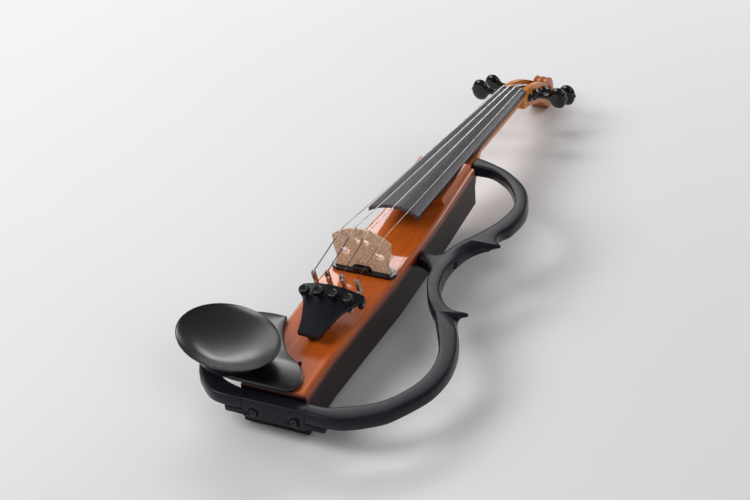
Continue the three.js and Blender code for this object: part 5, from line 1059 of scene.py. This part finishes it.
# %% [markdown]
# ## The holes that the screws sit in
# The crowned frame, arm and bracket were made without holes, so a stepped cutter gives them one where each
# screw sits: a narrow bore for the shank and a wide one for the head. The upright ones stop inside the
# crown, so that nothing shows from above.
# %% Counterbores
COUNTERBORES = [
    (side_frame, "frame_screw_heel"), (side_frame, "frame_screw_waist"), (side_frame, "frame_screw_tail"),
    (arm, "arm_screw"), (bracket, "frame_screw_tail"), (bracket, "arm_screw"),
    (bracket, "bracket_screw_left"), (bracket, "bracket_screw_right"),
]

for holed, node in COUNTERBORES:
    way = Vector(SCREW_WAYS[node])
    depth = BLIND_DEPTH if way.z else THROUGH_DEPTH
    profile = [(SHANK_RADIUS, -depth), (SHANK_RADIUS, -COUNTERBORE_DEPTH),
               (COUNTERBORE_RADIUS, -COUNTERBORE_DEPTH), (COUNTERBORE_RADIUS, COUNTERBORE_OVERRUN)]
    place = aim(head_face(node, way), way, millimetres=False)
    cut_by(holed, turned("counterbore", profile, COUNTERBORE_SIDES, place))
print("counterbores:", len(COUNTERBORES))

# %% [markdown]
# ## The trunk's rounded shoulders
# Under thick varnish the trunk's upper edge is a soft round, and a long highlight runs along it. The frame
# has one flat chamfer there. Only the chamfer's own two rims are selected, by their height, and bevelled
# into a round; every other edge gets a much smaller easing. One bevel as wide for all edges would round the
# openings in the flank as well.
# %% Trunk
TRUNK_TOP, CHAMFER_LOW = 38.0, 35.6
SHARP_ANGLE = 30
SHOULDER_ROUND, SHOULDER_SEGMENTS = 0.95, 4
TRUNK_EASING, TRUNK_EASING_ANGLE = 0.25, 50


def is_rim(edge):
    heights = {round(vertex.co.z / MM, 1) for vertex in edge.verts}
    level = heights in ({TRUNK_TOP}, {CHAMFER_LOW})
    return level and len(edge.link_faces) == 2 and edge.calc_face_angle() > math.radians(SHARP_ANGLE)


trunk = merged_copy("trunk", "trunk_varnished")
bpy.ops.object.mode_set(mode="EDIT")
bpy.ops.mesh.select_mode(type="EDGE")
bpy.ops.mesh.select_all(action="DESELECT")
rims = bmesh.from_edit_mesh(trunk.data)
for edge in rims.edges:
    if is_rim(edge):
        edge.select_set(True)
bmesh.update_edit_mesh(trunk.data)
bpy.ops.mesh.bevel(offset=SHOULDER_ROUND * MM, segments=SHOULDER_SEGMENTS, affect="EDGES")
bpy.ops.object.mode_set(mode="OBJECT")
ease(trunk, TRUNK_EASING, 1, TRUNK_EASING_ANGLE)
settle(trunk, "trunk", varnish)
print("trunk faces:", len(trunk.data.polygons))

# %% [markdown]
# ## The floor
# The photograph shows the instrument on black. Here it lies on a plain pale floor, as it would on a table:
# it rests on the tail edge of its back and on the scroll, so the floor slopes gently against the
# instrument's own axes.
# %% Floor
REST_EDGE_Y, REST_SLOPE = -147.6, 4.17
FLOOR_SIZE, FLOOR_GAP = 12, 0.3
FLOOR_GREY, FLOOR_PALE = (0.77, 0.77, 0.78), (0.8, 0.8, 0.8)

deselect()
bpy.ops.mesh.primitive_plane_add(size=FLOOR_SIZE)
floor = bpy.context.object
floor.name = "floor"
floor.data.transform(Matrix.Rotation(-math.radians(REST_SLOPE), 4, "X"))
floor.data.transform(Matrix.Translation(Vector((0, REST_EDGE_Y, -FLOOR_GAP)) * MM))
floor_finish, floor_tree, floor_shader = new_finish("pale floor", Roughness=0.7)
floor_cloud = noise(floor_tree, object_pattern(floor_tree, (1, 1, 1)), scale=3, detail=2)
floor_colour = mix_colours(floor_tree, floor_cloud, FLOOR_GREY, FLOOR_PALE)
floor_tree.links.new(floor_colour, floor_shader.inputs["Base Color"])
floor.data.materials.append(floor_finish)
print("floor:", FLOOR_SIZE, "m wide, sloped by", REST_SLOPE, "degrees")

# %% [markdown]
# ## The light
# Glossy pieces are lit by what they mirror, so every lamp is a soft rectangle. The key lamp in front on the
# left and the fill lamp on the right light the whole instrument. A lamp far to the left and a low strip
# behind draw light along the board, the strings and the rounded edges of the black frame. A narrow one
# behind on the left stands like a window, and the varnish between the bridge and the board mirrors it. A
# faint even sky fills the rest.
# %% Lamps
CENTRE = (0, 0.1, 0.03)
# Place and size in metres, and power in watts
SOFTBOXES = {
    "key softbox": ((-1.3, -0.8, 1.5), (1.2, 1.1), 27),
    "side softbox": ((-1.9, 0.75, 1.35), (1.1, 0.9), 8),
    "back strip": ((0.7, 1.95, 0.42), (1.5, 0.5), 14),
    "window softbox": ((-0.885, 1.345, 1.03), (1.1, 0.3), 10),
    "fill softbox": ((1.4, -0.9, 1.3), (1.2, 1.2), 7),
}
SKY_COLOUR, SKY_STRENGTH = (0.8, 0.82, 0.85), 0.22

for name, (place, size, power) in SOFTBOXES.items():
    deselect()
    bpy.ops.object.light_add(type="AREA", location=place)
    lamp = bpy.context.object
    lamp.name = name
    lamp.rotation_euler = (Vector(CENTRE) - Vector(place)).to_track_quat("-Z", "Y").to_euler()
    lamp.data.shape = "RECTANGLE"
    lamp.data.size, lamp.data.size_y = size
    lamp.data.energy = power

world = bpy.data.worlds.new("studio")
bpy.context.scene.world = world
world.use_nodes = True
background = world.node_tree.nodes["Background"]
background.inputs["Color"].default_value = (*SKY_COLOUR, 1)
background.inputs["Strength"].default_value = SKY_STRENGTH
bpy.context.scene.view_settings.view_transform = "Standard"
print("lamps:", len(SOFTBOXES))
